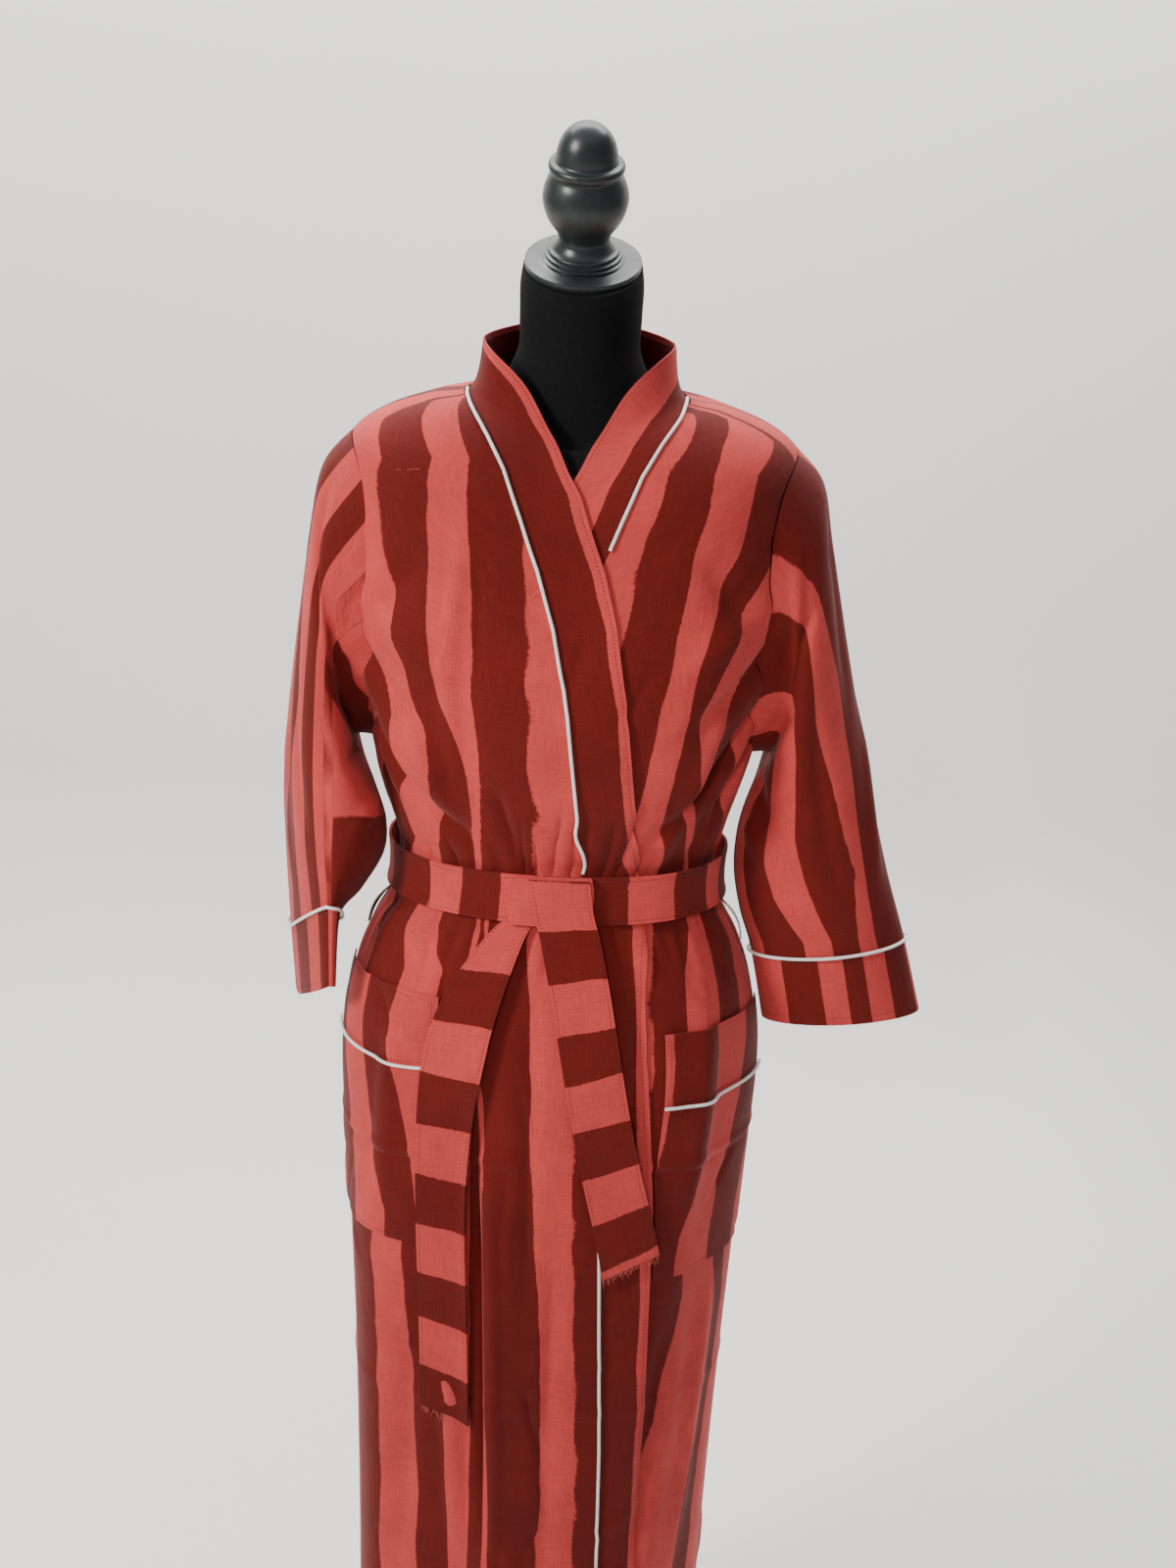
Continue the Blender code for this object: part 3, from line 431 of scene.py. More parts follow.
LEVEL_SAMPLES = np.linspace(NECK_LEVEL, HEM_LEVEL, 1701)
HEIGHT_SAMPLES = along(LEVELS, LEVEL_SAMPLES - BAND_TOP_LEVEL)[:, 1]


def level_at(z):
    """The level whose front lies at height z, below the neck."""
    return np.interp(-np.asarray(z, float), -HEIGHT_SAMPLES, LEVEL_SAMPLES)


def front_height(level):
    return along(LEVELS, np.asarray(level, float) - BAND_TOP_LEVEL)[..., 1]


FRONT_DEGREES = np.linspace(-89, 89, 357)


def angle_at(x, level):
    """The angles on the front half at which levels reach x."""
    x, level = np.broadcast_arrays(np.asarray(x, float), np.asarray(level, float))
    reach = surface(FRONT_DEGREES, level.reshape(-1, 1), creased=False)[..., 0]
    reach = np.maximum.accumulate(reach, axis=1)
    found = [np.interp(one, row, FRONT_DEGREES) for one, row in zip(x.ravel(), reach)]
    return np.array(found).reshape(x.shape)


def over_lift(degrees):
    """The front that lies on top rises from its side seam to clear the front below it."""
    return OVER_LIFT * smooth_step(-84, -60, np.asarray(degrees, float))


def band_run(level):
    """(seam angle, edge angle) of the band on top, below its turn round the neck."""
    z = float(front_height(level))
    seam_x = np.interp(-z, -BAND_RUN[:, 0], BAND_RUN[:, 1])
    edge_x = np.interp(-z, -BAND_RUN[:, 0], BAND_RUN[:, 2])
    return float(angle_at(seam_x, level)), float(angle_at(edge_x, level))


def seam_angle(level):
    """The angle of the front's seam with its band, for the front on top."""
    if level >= TURN_END_LEVEL:
        return band_run(level)[0]
    turn_levels = [t[1] for t in BAND_TURN] + [TURN_END_LEVEL]
    turn_angles = [-t[0] for t in BAND_TURN] + [band_run(TURN_END_LEVEL)[0]]
    return float(np.interp(level, turn_levels, turn_angles))


def armhole_half_angle(level):
    if not ARMHOLE_TOP < level < ARMHOLE_BOTTOM:
        return 0.0
    across = 2 * (level - ARMHOLE_TOP) / (ARMHOLE_BOTTOM - ARMHOLE_TOP) - 1
    return ARMHOLE_HALF_DEG * math.sqrt(max(0.0, 1 - across * across))


def gap_degrees(degrees, level):
    return math.degrees(SEAM_GAP / 2 / float(np.linalg.norm(surface(degrees, level, creased=False)[:2])))


ABOVE_ARMHOLE_ROWS = 28
ARMHOLE_ROWS = 70
SKIRT_ROWS = 190


def panel_levels():
    """The rows of a front or the back, closest together round the armhole."""
    above = np.linspace(0.25, ARMHOLE_TOP, ABOVE_ARMHOLE_ROWS, endpoint=False)
    turn = (1 - np.cos(np.linspace(0, math.pi, ARMHOLE_ROWS))) / 2
    armhole = ARMHOLE_TOP + (ARMHOLE_BOTTOM - ARMHOLE_TOP) * turn
    below = level_at(np.linspace(front_height(ARMHOLE_BOTTOM), LEVELS[-1, 1], SKIRT_ROWS + 1)[1:])
    return np.concatenate([above, armhole, below])


# Meshes
def add_mesh(name, points, faces, uvs=None):
    mesh = bpy.data.meshes.new(name)
    mesh.from_pydata([tuple(p) for p in points], [], faces)
    for layer_name, values in (uvs or {}).items():
        layer = mesh.uv_layers.new(name=layer_name)
        layer.data.foreach_set("uv", np.asarray(values, float).ravel())
    mesh.validate()
    mesh.shade_smooth()
    mesh.set_sharp_from_angle(angle=math.radians(50))
    obj = bpy.data.objects.new(name, mesh)
    bpy.context.scene.collection.objects.link(obj)
    return obj


def grid_normals(grid, wrap):
    if wrap:
        across = np.roll(grid, -1, 1) - np.roll(grid, 1, 1)
    else:
        across = np.gradient(grid, axis=1)
    down = np.gradient(grid, axis=0)
    normals = np.cross(down, across)
    length = np.linalg.norm(normals, axis=2, keepdims=True)
    return normals / np.maximum(length, 1e-12)


def shell(name, grid, stripe, thread, material, thickness=CLOTH, wrap=False):
    """A thin closed cloth shell on a grid of points, with its outside along the grid's normals.

    stripe and thread are grids of (across, along) for the two UV maps, one column longer where wrap is set.
    A grid that closes along its rows is thickened away from its middle.
    """
    grid = np.asarray(grid, float)
    rows, columns = grid.shape[:2]
    normals = grid_normals(grid, wrap)
    turned_in = wrap and ((grid - grid.mean(1)[:, None, :]) * normals).sum() < 0
    if turned_in:
        normals = -normals
    points = np.concatenate([grid.reshape(-1, 3), (grid + normals * thickness).reshape(-1, 3)])
    top = rows * columns
    spans = columns if wrap else columns - 1
    faces, corners = [], []

    def quad(ring):
        ring = ring[::-1] if turned_in else ring
        faces.append([i * columns + j % columns + side * top for i, j, side in ring])
        corners.extend((i, j) for i, j, side in ring)

    for i in range(rows - 1):
        for j in range(spans):
            quad([(i, j, 1), (i + 1, j, 1), (i + 1, j + 1, 1), (i, j + 1, 1)])
            quad([(i, j, 0), (i, j + 1, 0), (i + 1, j + 1, 0), (i + 1, j, 0)])
    for j in range(spans):
        quad([(0, j, 0), (0, j, 1), (0, j + 1, 1), (0, j + 1, 0)])
        quad([(rows - 1, j, 0), (rows - 1, j + 1, 0), (rows - 1, j + 1, 1), (rows - 1, j, 1)])
    if not wrap:
        last = columns - 1
        for i in range(rows - 1):
            quad([(i, 0, 0), (i + 1, 0, 0), (i + 1, 0, 1), (i, 0, 1)])
            quad([(i, last, 0), (i, last, 1), (i + 1, last, 1), (i + 1, last, 0)])
    where = np.array(corners)
    uvs = {key: np.asarray(values, float)[where[:, 0], where[:, 1]] for key, values in
           (("stripe", stripe), ("thread", thread))}
    obj = add_mesh(name, points, faces, uvs)
    obj.data.materials.append(material)
    return obj


def tube(name, path, radius, material, closed=False, sides=10):
    """A round cord through points, with flat caps on its ends unless it is closed."""
    path = np.asarray(path, float)
    count = len(path)
    tangents = (np.roll(path, -1, 0) - np.roll(path, 1, 0)) if closed else np.gradient(path, axis=0)
    tangents = tangents / np.linalg.norm(tangents, axis=1)[:, None]
    across = np.cross(tangents[0], (0.0, 0.0, 1.0))
    if np.linalg.norm(across) < 0.1:
        across = np.cross(tangents[0], (1.0, 0.0, 0.0))
    distance = np.concatenate([[0], np.cumsum(np.linalg.norm(np.diff(path, axis=0), axis=1))])
    points, thread, faces, corners = [], [], [], []
    for i in range(count):
        across = across - tangents[i] * (across @ tangents[i])
        across = across / np.linalg.norm(across)
        other = np.cross(tangents[i], across)
        for k in range(sides):
            a = 2 * math.pi * k / sides
            points.append(path[i] + radius * (math.cos(a) * across + math.sin(a) * other))
    for i in range(count if closed else count - 1):
        for k in range(sides):
            n = (k + 1) % sides
            m = (i + 1) % count
            faces.append([i * sides + k, i * sides + n, m * sides + n, m * sides + k])
            near, far = distance[i], distance[i + 1] if i + 1 < count else distance[i] + 0.01
            width = 2 * math.pi * radius / sides
            corners += [(k * width, near), ((k + 1) * width, near), ((k + 1) * width, far), (k * width, far)]
    if not closed:
        for i in (0, count - 1):
            faces.append([i * sides + k for k in range(sides)])
            corners += [(0, distance[i])] * sides
    obj = add_mesh(name, points, faces, {"thread": corners})
    obj.data.materials.append(material)
    return obj


STITCH_PITCH = 0.0034
STITCH_LENGTH = 0.0024
STITCH_RADIUS = 0.00055


def stitch_rows(name, lines, material):
    """Rows of topstitching, one small spindle for each stitch. lines holds (points, normals) along each row."""
    points, faces = [], []
    for line, normals in lines:
        distance = np.concatenate([[0], np.cumsum(np.linalg.norm(np.diff(line, axis=0), axis=1))])
        starts = np.arange(STITCH_PITCH / 2, distance[-1] - STITCH_LENGTH, STITCH_PITCH)
        first, last, normal = (
            np.stack([np.interp(starts + shift, distance, values[:, k]) for k in range(3)], -1)
            for values, shift in ((line, 0.0), (line, STITCH_LENGTH), (normals, STITCH_LENGTH / 2))
        )
        normal /= np.linalg.norm(normal, axis=1)[:, None]
        side = np.cross(last - first, normal)
        side *= STITCH_RADIUS / np.maximum(np.linalg.norm(side, axis=1), 1e-9)[:, None]
        up = normal * STITCH_RADIUS
        middle = (first + last) / 2
        for ring in zip(first, last, middle + side, middle + up, middle - side, middle - up):
            n = len(points)
            points.extend(ring)
            for k in range(4):
                near, far = n + 2 + k, n + 2 + (k + 1) % 4
                faces.append([n, near, far])
                faces.append([n + 1, far, near])
    obj = add_mesh(name, points, faces)
    obj.data.materials.append(material)
    return obj


def turned(name, profile, sides, material, steps=3):
    """A solid of revolution through a smooth profile of (radius, height)."""
    fine = along(profile, np.linspace(0, len(profile) - 1, (len(profile) - 1) * steps + 1))
    angles = np.linspace(0, 2 * math.pi, sides + 1)[:-1]
    points, faces = [], []
    for radius, height in fine:
        points += [(radius * math.cos(a), radius * math.sin(a), height) for a in angles]
    for i in range(len(fine) - 1):
        for k in range(sides):
            n = (k + 1) % sides
            faces.append([i * sides + k, i * sides + n, (i + 1) * sides + n, (i + 1) * sides + k])
    faces.append(list(range(sides))[::-1])
    faces.append([(len(fine) - 1) * sides + k for k in range(sides)])
    obj = add_mesh(name, points, faces)
    obj.data.materials.append(material)
    return obj


# Materials
class Nodes:
    """Short calls to build a material's node tree."""

    def __init__(self, name, slot_color):
        self.material = bpy.data.materials.new(name)
        self.material.use_nodes = True
        self.material.diffuse_color = slot_color
        self.tree = self.material.node_tree
        self.shader = self.tree.nodes["Principled BSDF"]

    def add(self, kind, **settings):
        node = self.tree.nodes.new(kind)
        for key, value in settings.items():
            setattr(node, key, value)
        return node

    def put(self, socket, value):
        if hasattr(value, "is_linked"):
            self.tree.links.new(value, socket)
        else:
            socket.default_value = value

    def math(self, operation, first, second=0.0, third=0.0):
        node = self.add("ShaderNodeMath", operation=operation)
        self.put(node.inputs[0], first)
        self.put(node.inputs[1], second)
        self.put(node.inputs[2], third)
        return node.outputs[0]

    def uv(self, layer):
        return self.add("ShaderNodeUVMap", uv_map=layer).outputs[0]

    def stretch(self, vector, scale):
        node = self.add("ShaderNodeMapping")
        self.put(node.inputs["Vector"], vector)
        node.inputs["Scale"].default_value = scale
        return node.outputs[0]

    def noise(self, vector, scale, detail=2.0, roughness=0.5):
        node = self.add("ShaderNodeTexNoise")
        self.put(node.inputs["Vector"], vector)
        node.inputs["Scale"].default_value = scale
        node.inputs["Detail"].default_value = detail
        node.inputs["Roughness"].default_value = roughness
        return node.outputs[0]

    def mapped(self, value, from_low, from_high, to_low, to_high):
        node = self.add("ShaderNodeMapRange")
        self.put(node.inputs["Value"], value)
        for key, number in (
            ("From Min", from_low), ("From Max", from_high), ("To Min", to_low), ("To Max", to_high),
        ):
            node.inputs[key].default_value = number
        return node.outputs[0]

    def mix(self, factor, first, second, blend_type="MIX"):
        node = self.add("ShaderNodeMix", data_type="RGBA", blend_type=blend_type)
        self.put(node.inputs[0], factor)
        self.put(node.inputs[6], first)
        self.put(node.inputs[7], second)
        return node.outputs[2]

    def bump(self, height, strength, distance, normal=None):
        node = self.add("ShaderNodeBump")
        self.put(node.inputs["Height"], height)
        node.inputs["Strength"].default_value = strength
        node.inputs["Distance"].default_value = distance
        if normal is not None:
            self.put(node.inputs["Normal"], normal)
        return node.outputs[0]


PINK = (0.500, 0.050, 0.046, 1)
DARK = (0.122, 0.0052, 0.0032, 1)
THREADS_PER_METRE = 1900


def cloth_material(name, edge_wave=0.055):
    """Plain-weave cotton with hand-painted stripes. Even stripe numbers are pink and odd ones dark."""
    nodes = Nodes(name, DARK)
    stripe, thread = nodes.uv("stripe"), nodes.uv("thread")
    split = nodes.add("ShaderNodeSeparateXYZ")
    nodes.put(split.inputs[0], stripe)
    slow = nodes.mapped(nodes.noise(thread, 16, 1.5), 0.25, 0.75, -edge_wave, edge_wave)
    quick = nodes.mapped(nodes.noise(thread, 260, 1.0), 0.25, 0.75, -edge_wave / 5, edge_wave / 5)
    number = nodes.math("ADD", nodes.math("ADD", split.outputs[0], slow), quick)
    wave = nodes.math("SINE", nodes.math("MULTIPLY", number, math.pi))
    pink_share = nodes.mapped(wave, -0.035, 0.035, 0.0, 1.0)

    warp = nodes.noise(nodes.stretch(thread, (1500, 42, 1)), 1.0, 2.0, 0.6)
    weft = nodes.noise(nodes.stretch(thread, (42, 1500, 1)), 1.0, 2.0, 0.6)
    threads = nodes.math("ADD", warp, weft)
    cloud = nodes.noise(thread, 11, 3.0)
    color = nodes.mix(pink_share, DARK, PINK)
    tone = nodes.math(
        "ADD", nodes.mapped(threads, 0.6, 1.4, 0.72, 1.28), nodes.mapped(cloud, 0.3, 0.7, -0.12, 0.12)
    )
    shade = nodes.add("ShaderNodeCombineColor")
    for socket in shade.inputs:
        nodes.put(socket, tone)
    color = nodes.mix(1.0, color, shade.outputs[0], "MULTIPLY")
    nodes.put(nodes.shader.inputs["Base Color"], color)

    split_thread = nodes.add("ShaderNodeSeparateXYZ")
    nodes.put(split_thread.inputs[0], thread)
    turn = math.pi * THREADS_PER_METRE
    warp_wave = nodes.math("SINE", nodes.math("MULTIPLY", split_thread.outputs[0], turn))
    weft_wave = nodes.math("SINE", nodes.math("MULTIPLY", split_thread.outputs[1], turn))
    weave = nodes.math("MULTIPLY", warp_wave, weft_wave)
    fine = nodes.bump(nodes.math("ADD", nodes.math("MULTIPLY", weave, 0.25), threads), 0.35, 0.0004)
    soft = nodes.noise(nodes.stretch(thread, (1.0, 0.55, 1)), 34, 2.0)
    nodes.put(nodes.shader.inputs["Normal"], nodes.bump(soft, 0.35, 0.004, fine))
    nodes.put(nodes.shader.inputs["Roughness"], nodes.mapped(threads, 0.6, 1.4, 0.92, 0.74))
    nodes.shader.inputs["Sheen Weight"].default_value = 0.12
    nodes.shader.inputs["Sheen Roughness"].default_value = 0.45
    nodes.shader.inputs["Sheen Tint"].default_value = (1.0, 0.62, 0.58, 1)
    nodes.shader.inputs["Specular IOR Level"].default_value = 0.18
    return nodes.material


def piping_material():
    """Off-white bias-cut cotton round a cord, with its threads on the slant."""
    nodes = Nodes("piping_cotton", (0.86, 0.83, 0.78, 1))
    thread = nodes.uv("thread")
    split = nodes.add("ShaderNodeSeparateXYZ")
    nodes.put(split.inputs[0], thread)
    slant = nodes.math("ADD", split.outputs[0], split.outputs[1])
    twill = nodes.math("SINE", nodes.math("MULTIPLY", slant, 5200))
    cloud = nodes.noise(thread, 60, 2.0)
    color = nodes.mix(nodes.mapped(cloud, 0.3, 0.7, 0.0, 1.0), (0.90, 0.87, 0.82, 1), (0.78, 0.74, 0.69, 1))
    nodes.put(nodes.shader.inputs["Base Color"], color)
    nodes.put(nodes.shader.inputs["Normal"], nodes.bump(nodes.math("ADD", twill, cloud), 0.3, 0.0003))
    nodes.put(nodes.shader.inputs["Roughness"], nodes.mapped(cloud, 0.3, 0.7, 0.62, 0.78))
    nodes.shader.inputs["Sheen Weight"].default_value = 0.15
    return nodes.material


def jersey_material():
    """Black knitted jersey with fine ribs."""
    nodes = Nodes("form_jersey_knit", (0.004, 0.004, 0.004, 1))
    place = nodes.add("ShaderNodeTexCoord").outputs["Object"]
    ribs = nodes.noise(nodes.stretch(place, (1400, 1400, 160)), 1.0, 1.0)
    nodes.put(nodes.shader.inputs["Base Color"], nodes.mix(ribs, (0.0020, 0.0020, 0.0022, 1), (0.0075, 0.0075, 0.0080, 1)))
    nodes.put(nodes.shader.inputs["Normal"], nodes.bump(ribs, 0.5, 0.0005))
    nodes.shader.inputs["Roughness"].default_value = 0.92
    nodes.shader.inputs["Specular IOR Level"].default_value = 0.15
    return nodes.material


def paint_material():
    """Black-green satin paint over turned wood, with its grain showing through."""
    nodes = Nodes("finial_satin_paint", (0.012, 0.016, 0.016, 1))
    place = nodes.add("ShaderNodeTexCoord").outputs["Object"]
    grain = nodes.noise(nodes.stretch(place, (420, 420, 26)), 1.0, 3.0, 0.6)
    cloud = nodes.noise(place, 38, 2.0)
    color = nodes.mix(grain, (0.0060, 0.0085, 0.0085, 1), (0.021, 0.028, 0.027, 1))
    nodes.put(nodes.shader.inputs["Base Color"], color)
    nodes.put(nodes.shader.inputs["Roughness"], nodes.mapped(cloud, 0.3, 0.7, 0.30, 0.44))
    nodes.put(nodes.shader.inputs["Normal"], nodes.bump(grain, 0.35, 0.0003))
    return nodes.material


def metal_material():
    """Black powder coat on the stand."""
    nodes = Nodes("stand_powder_coat", (0.014, 0.014, 0.015, 1))
    place = nodes.add("ShaderNodeTexCoord").outputs["Object"]
    grit = nodes.noise(place, 900, 2.0)
    nodes.put(nodes.shader.inputs["Base Color"], nodes.mix(grit, (0.010, 0.010, 0.011, 1), (0.020, 0.020, 0.021, 1)))
    nodes.put(nodes.shader.inputs["Normal"], nodes.bump(grit, 0.25, 0.0003))
    nodes.shader.inputs["Roughness"].default_value = 0.48
    nodes.shader.inputs["Metallic"].default_value = 0.3
    return nodes.material


def thread_material():
    """Dark red sewing thread."""
    nodes = Nodes("sewing_thread", (0.06, 0.008, 0.006, 1))
    place = nodes.add("ShaderNodeTexCoord").outputs["Object"]
    ply = nodes.noise(place, 1500, 1.0)
    nodes.put(nodes.shader.inputs["Base Color"], nodes.mix(ply, (0.014, 0.002, 0.002, 1), (0.040, 0.005, 0.004, 1)))
    nodes.shader.inputs["Roughness"].default_value = 0.7
    return nodes.material


robe_cloth = cloth_material("robe_cotton")
sleeve_cloth = cloth_material("sleeve_cotton", edge_wave=0.022)
white_piping = piping_material()
black_jersey = jersey_material()
satin_paint = paint_material()
powder_coat = metal_material()
dark_thread = thread_material()


# Stripes. Each edge between two stripes is a line of (height, angle). A set has the number of its first edge,
# the spacing in degrees before its first edge and after its last, and its edges. Pink follows an even number.
Stripes = namedtuple("Stripes", "first before after edges")
OVER_UPPER = Stripes(0, 15, 60, [
    [(1.270, -98), (1.200, -72), (1.143, -57), (1.056, -61), (1.009, -68)],
    [(1.330, -78.5), (1.302, -67), (1.244, -60.5), (1.202, -55), (1.145, -46.2), (1.099, -45), (1.066, -46.5), (1.016, -50)],
    [(1.361, -76.5), (1.323, -55), (1.257, -49), (1.210, -46), (1.157, -38.5), (1.103, -34), (1.071, -33.5), (1.023, -36)],
    [(1.388, -82), (1.362, -60), (1.339, -46), (1.272, -37.5), (1.222, -33.2), (1.162, -29.8), (1.105, -29), (1.024, -33.2)],
    [(1.360, -30), (1.296, -19.5), (1.236, -15.8), (1.171, -11.8), (1.079, -10.5), (1.029, -11.5)],
])
OVER_LOWER = Stripes(0, 15, 60, [
    [(0.954, -61), (0.920, -56), (0.791, -56.2), (0.636, -61.8), (0.592, -61), (0.379, -60.5)],
    [(0.962, -49), (0.929, -43), (0.800, -45), (0.647, -52), (0.602, -51.8), (0.392, -47.8)],
    [(0.968, -35), (0.896, -31.5), (0.655, -35.8), (0.473, -37), (0.399, -35.5)],
    [(0.968, -33), (0.896, -28.8), (0.658, -29), (0.406, -25.8)],
    [(0.969, -31), (0.772, -24.5), (0.620, -22.5), (0.413, -19)],
    [(0.969, -30), (0.773, -22.7), (0.621, -20), (0.413, -16.5)],
    [(0.973, -11), (0.901, -8), (0.779, -5), (0.625, -0.2), (0.414, 4)],
    [(0.975, 0.8), (0.902, 5.8), (0.780, 11.2), (0.626, 14.5), (0.414, 19.8)],
])
UNDER_UPPER = Stripes(1, 60, 15, [
    [(1.375, 71), (1.337, 42.8), (1.294, 30.5), (1.246, 23.8), (1.211, 19.8), (1.149, 16.2)],
    [
        (1.356, 75.8), (1.339, 62.2), (1.320, 55.2), (1.272, 46.8), (1.233, 40.8), (1.202, 37), (1.168, 33.2),
        (1.130, 31), (1.081, 30.5), (1.037, 35.8),
    ],
    [
        (1.324, 78.5), (1.305, 65.5), (1.259, 58.5), (1.225, 50.5), (1.198, 44.5), (1.163, 42.2), (1.120, 39.5),
        (1.080, 40), (1.034, 45.8),
    ],
    [(1.290, 80), (1.249, 70), (1.219, 58.5), (1.192, 53.8), (1.161, 46.2), (1.076, 49.5), (1.028, 58)],
    [(1.290, 92), (1.249, 82), (1.178, 62.8), (1.136, 52), (1.073, 54), (1.027, 60.5)],
])
UNDER_LOWER = Stripes(1, 60, 15, [
    [(0.973, 44.2), (0.938, 40.8), (0.780, 38.2), (0.623, 42), (0.543, 41.8), (0.413, 34)],
    [(0.967, 59), (0.934, 51.8), (0.776, 47.5), (0.613, 55), (0.537, 51), (0.480, 49), (0.413, 43)],
    [(0.961, 67.2), (0.927, 64), (0.763, 61.5), (0.588, 73.5), (0.473, 71.2), (0.385, 64.5)],
    [(0.951, 79.8), (0.919, 73.5), (0.752, 70.8), (0.578, 79.8), (0.464, 76.2), (0.370, 74.2)],
])
POCKET_STRIPES = {
    "left": Stripes(0, 14, 14, [
        [(0.880, -80), (0.780, -73), (0.690, -68.5)],
        [(0.870, -67.2), (0.780, -61), (0.690, -56)],
        [(0.870, -55.8), (0.780, -49.8), (0.690, -46)],
        [(0.870, -43), (0.780, -42.3), (0.690, -40)],
    ]),
    "right": Stripes(1, 14, 14, [
        [(0.855, 45.5), (0.770, 42.2), (0.680, 35)],
        [(0.855, 60.2), (0.770, 56.5), (0.680, 49.5)],
        [(0.855, 75), (0.770, 70.8), (0.680, 64.8)],
    ]),
}
BACK_EDGES = Stripes(0, 14, 14, [
    [(1.30, 148), (1.10, 152), (0.95, 146), (0.20, 143)],
    [(1.30, 163), (1.10, 167), (0.95, 164), (0.20, 160)],
    [(1.30, 182), (1.10, 180), (0.95, 181), (0.20, 184)],
    [(1.30, 199), (1.10, 195), (0.95, 199), (0.20, 203)],
    [(1.30, 216), (1.10, 211), (0.95, 217), (0.20, 220)],
])
EXTRA_EDGES = 8


def stripe_numbers(stripes, degrees, z):
    """The stripe number at each angle of one row at a height."""
    known = [np.interp(-z, [-p[0] for p in edge], [p[1] for p in edge]) for edge in stripes.edges]
    steps = np.arange(1, EXTRA_EDGES + 1)
    edges = np.concatenate([known[0] - stripes.before * steps[::-1], known, known[-1] + stripes.after * steps])
    return np.interp(degrees, edges, np.arange(len(edges)) + stripes.first - EXTRA_EDGES)


def thread_map(grid):
    """Distances across and down a grid of points, in metres, for the weave."""
    across = np.cumsum(np.linalg.norm(np.diff(grid, axis=1, prepend=grid[:, :1]), axis=2), axis=1)
    down = np.cumsum(np.linalg.norm(np.diff(grid, axis=0, prepend=grid[:1]), axis=2), axis=0)
    middle = across.shape[1] // 2
    centred = across - across[:, middle:middle + 1]
    return np.stack((centred, np.repeat(down[:, middle:middle + 1], grid.shape[1], 1)), -1)


def body_piece(name, degrees, levels, lift, stripes):
    """A cloth shell on the body surface from grids of angles and levels."""
    grid = on_body(degrees, levels, lift)
    thread = thread_map(grid)
    return shell(name, grid, np.stack((stripes, thread[..., 1]), -1), thread, robe_cloth)


def body_line(degrees, levels, lift):
    """A line for topstitching: its points and the normals there."""
    degrees, levels = np.broadcast_arrays(np.asarray(degrees, float), np.asarray(levels, float))
    return on_body(degrees, levels, lift), surface_normal(degrees, levels)


def finish_piece(obj, slot, *nodes):
    if nodes:
        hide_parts(*nodes)
    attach(obj, "root")
    return obj


def show_stitches(name, lines):
    return finish_piece(stitch_rows(name, lines, dark_thread), "robe_cloth")


# Panels
FRONT_SIDE_COLUMNS = 112
BACK_COLUMNS = 156
BAND_COLUMNS = 16
HEM_STITCH_LEVEL = 16.88
STITCH_LIFT = CLOTH - 0.0001


def panel_stripes(upper, lower, degrees, levels):
    rows = []
    for row, level in zip(degrees, levels[:, 0]):
        z = float(front_height(level))
        rows.append(stripe_numbers(upper if z > BELT_Z else lower, row, z))
    return np.array(rows)


def front_grid():
    """Angles and levels of the front on top. The front below is its mirror image."""
    rows = []
    for level in panel_levels():
        side = -90 + armhole_half_angle(level)
        seam = seam_angle(level)
        rows.append(np.linspace(side + gap_degrees(side, level), seam - gap_degrees(seam, level), FRONT_SIDE_COLUMNS))
    degrees = np.array(rows)
    return degrees, np.repeat(panel_levels()[:, None], degrees.shape[1], 1)


def make_fronts():
    degrees, levels = front_grid()
    over = body_piece(
        "robe_front_over", degrees, levels, over_lift(degrees), panel_stripes(OVER_UPPER, OVER_LOWER, degrees, levels)
    )
    under_degrees = -degrees[:, ::-1]
    under = body_piece(
        "robe_front_under", under_degrees, levels, 0.0,
        panel_stripes(UNDER_UPPER, UNDER_LOWER, under_degrees, levels),
    )
    hem = degrees[-1, 1:-1]
    stitches = show_stitches("stitches_fronts", [
        body_line(hem, HEM_STITCH_LEVEL, over_lift(hem) + STITCH_LIFT),
        body_line(-hem, HEM_STITCH_LEVEL, STITCH_LIFT),
    ])
    finish_piece(over, "robe_cloth", "front_over")
    finish_piece(under, "robe_cloth", "front_under")
    return over, under, stitches


def make_back():
    rows = []
    levels = panel_levels()
    for level in levels:
        half = armhole_half_angle(level)
        gap = gap_degrees(90 + half, level)
        rows.append(np.linspace(90 + half + gap, 270 - half - gap, BACK_COLUMNS))
    degrees = np.array(rows)
    levels = np.repeat(levels[:, None], BACK_COLUMNS, 1)
    back = body_piece("robe_back", degrees, levels, 0.0, panel_stripes(BACK_EDGES, BACK_EDGES, degrees, levels))
    stitches = show_stitches("stitches_back", [body_line(degrees[-1], HEM_STITCH_LEVEL, STITCH_LIFT)])
    return finish_piece(back, "robe_cloth", "back"), stitches


def band_lines():
    """The band on top as rows of (seam angle, seam level, edge angle, edge level), from the neck to the hem."""
    turn_rows = [(-t[0], t[1], -t[2], t[3]) for t in BAND_TURN]
    seam, edge = band_run(TURN_END_LEVEL)
    turn_rows.append((seam, TURN_END_LEVEL, edge, TURN_END_LEVEL))
    turn = along(turn_rows, np.linspace(0, len(turn_rows) - 1, 40))
    run = []
    for level in panel_levels():
        if level > TURN_END_LEVEL + 0.05:
            seam, edge = band_run(level)
            run.append((seam, level, edge, level))
    return np.concatenate([turn, run])


def band_point(lines, share):
    """(angles, levels) along the band at a share of its width, 0 at its seam."""
    return lines[:, 0] + (lines[:, 2] - lines[:, 0]) * share, lines[:, 1] + (lines[:, 3] - lines[:, 1]) * share


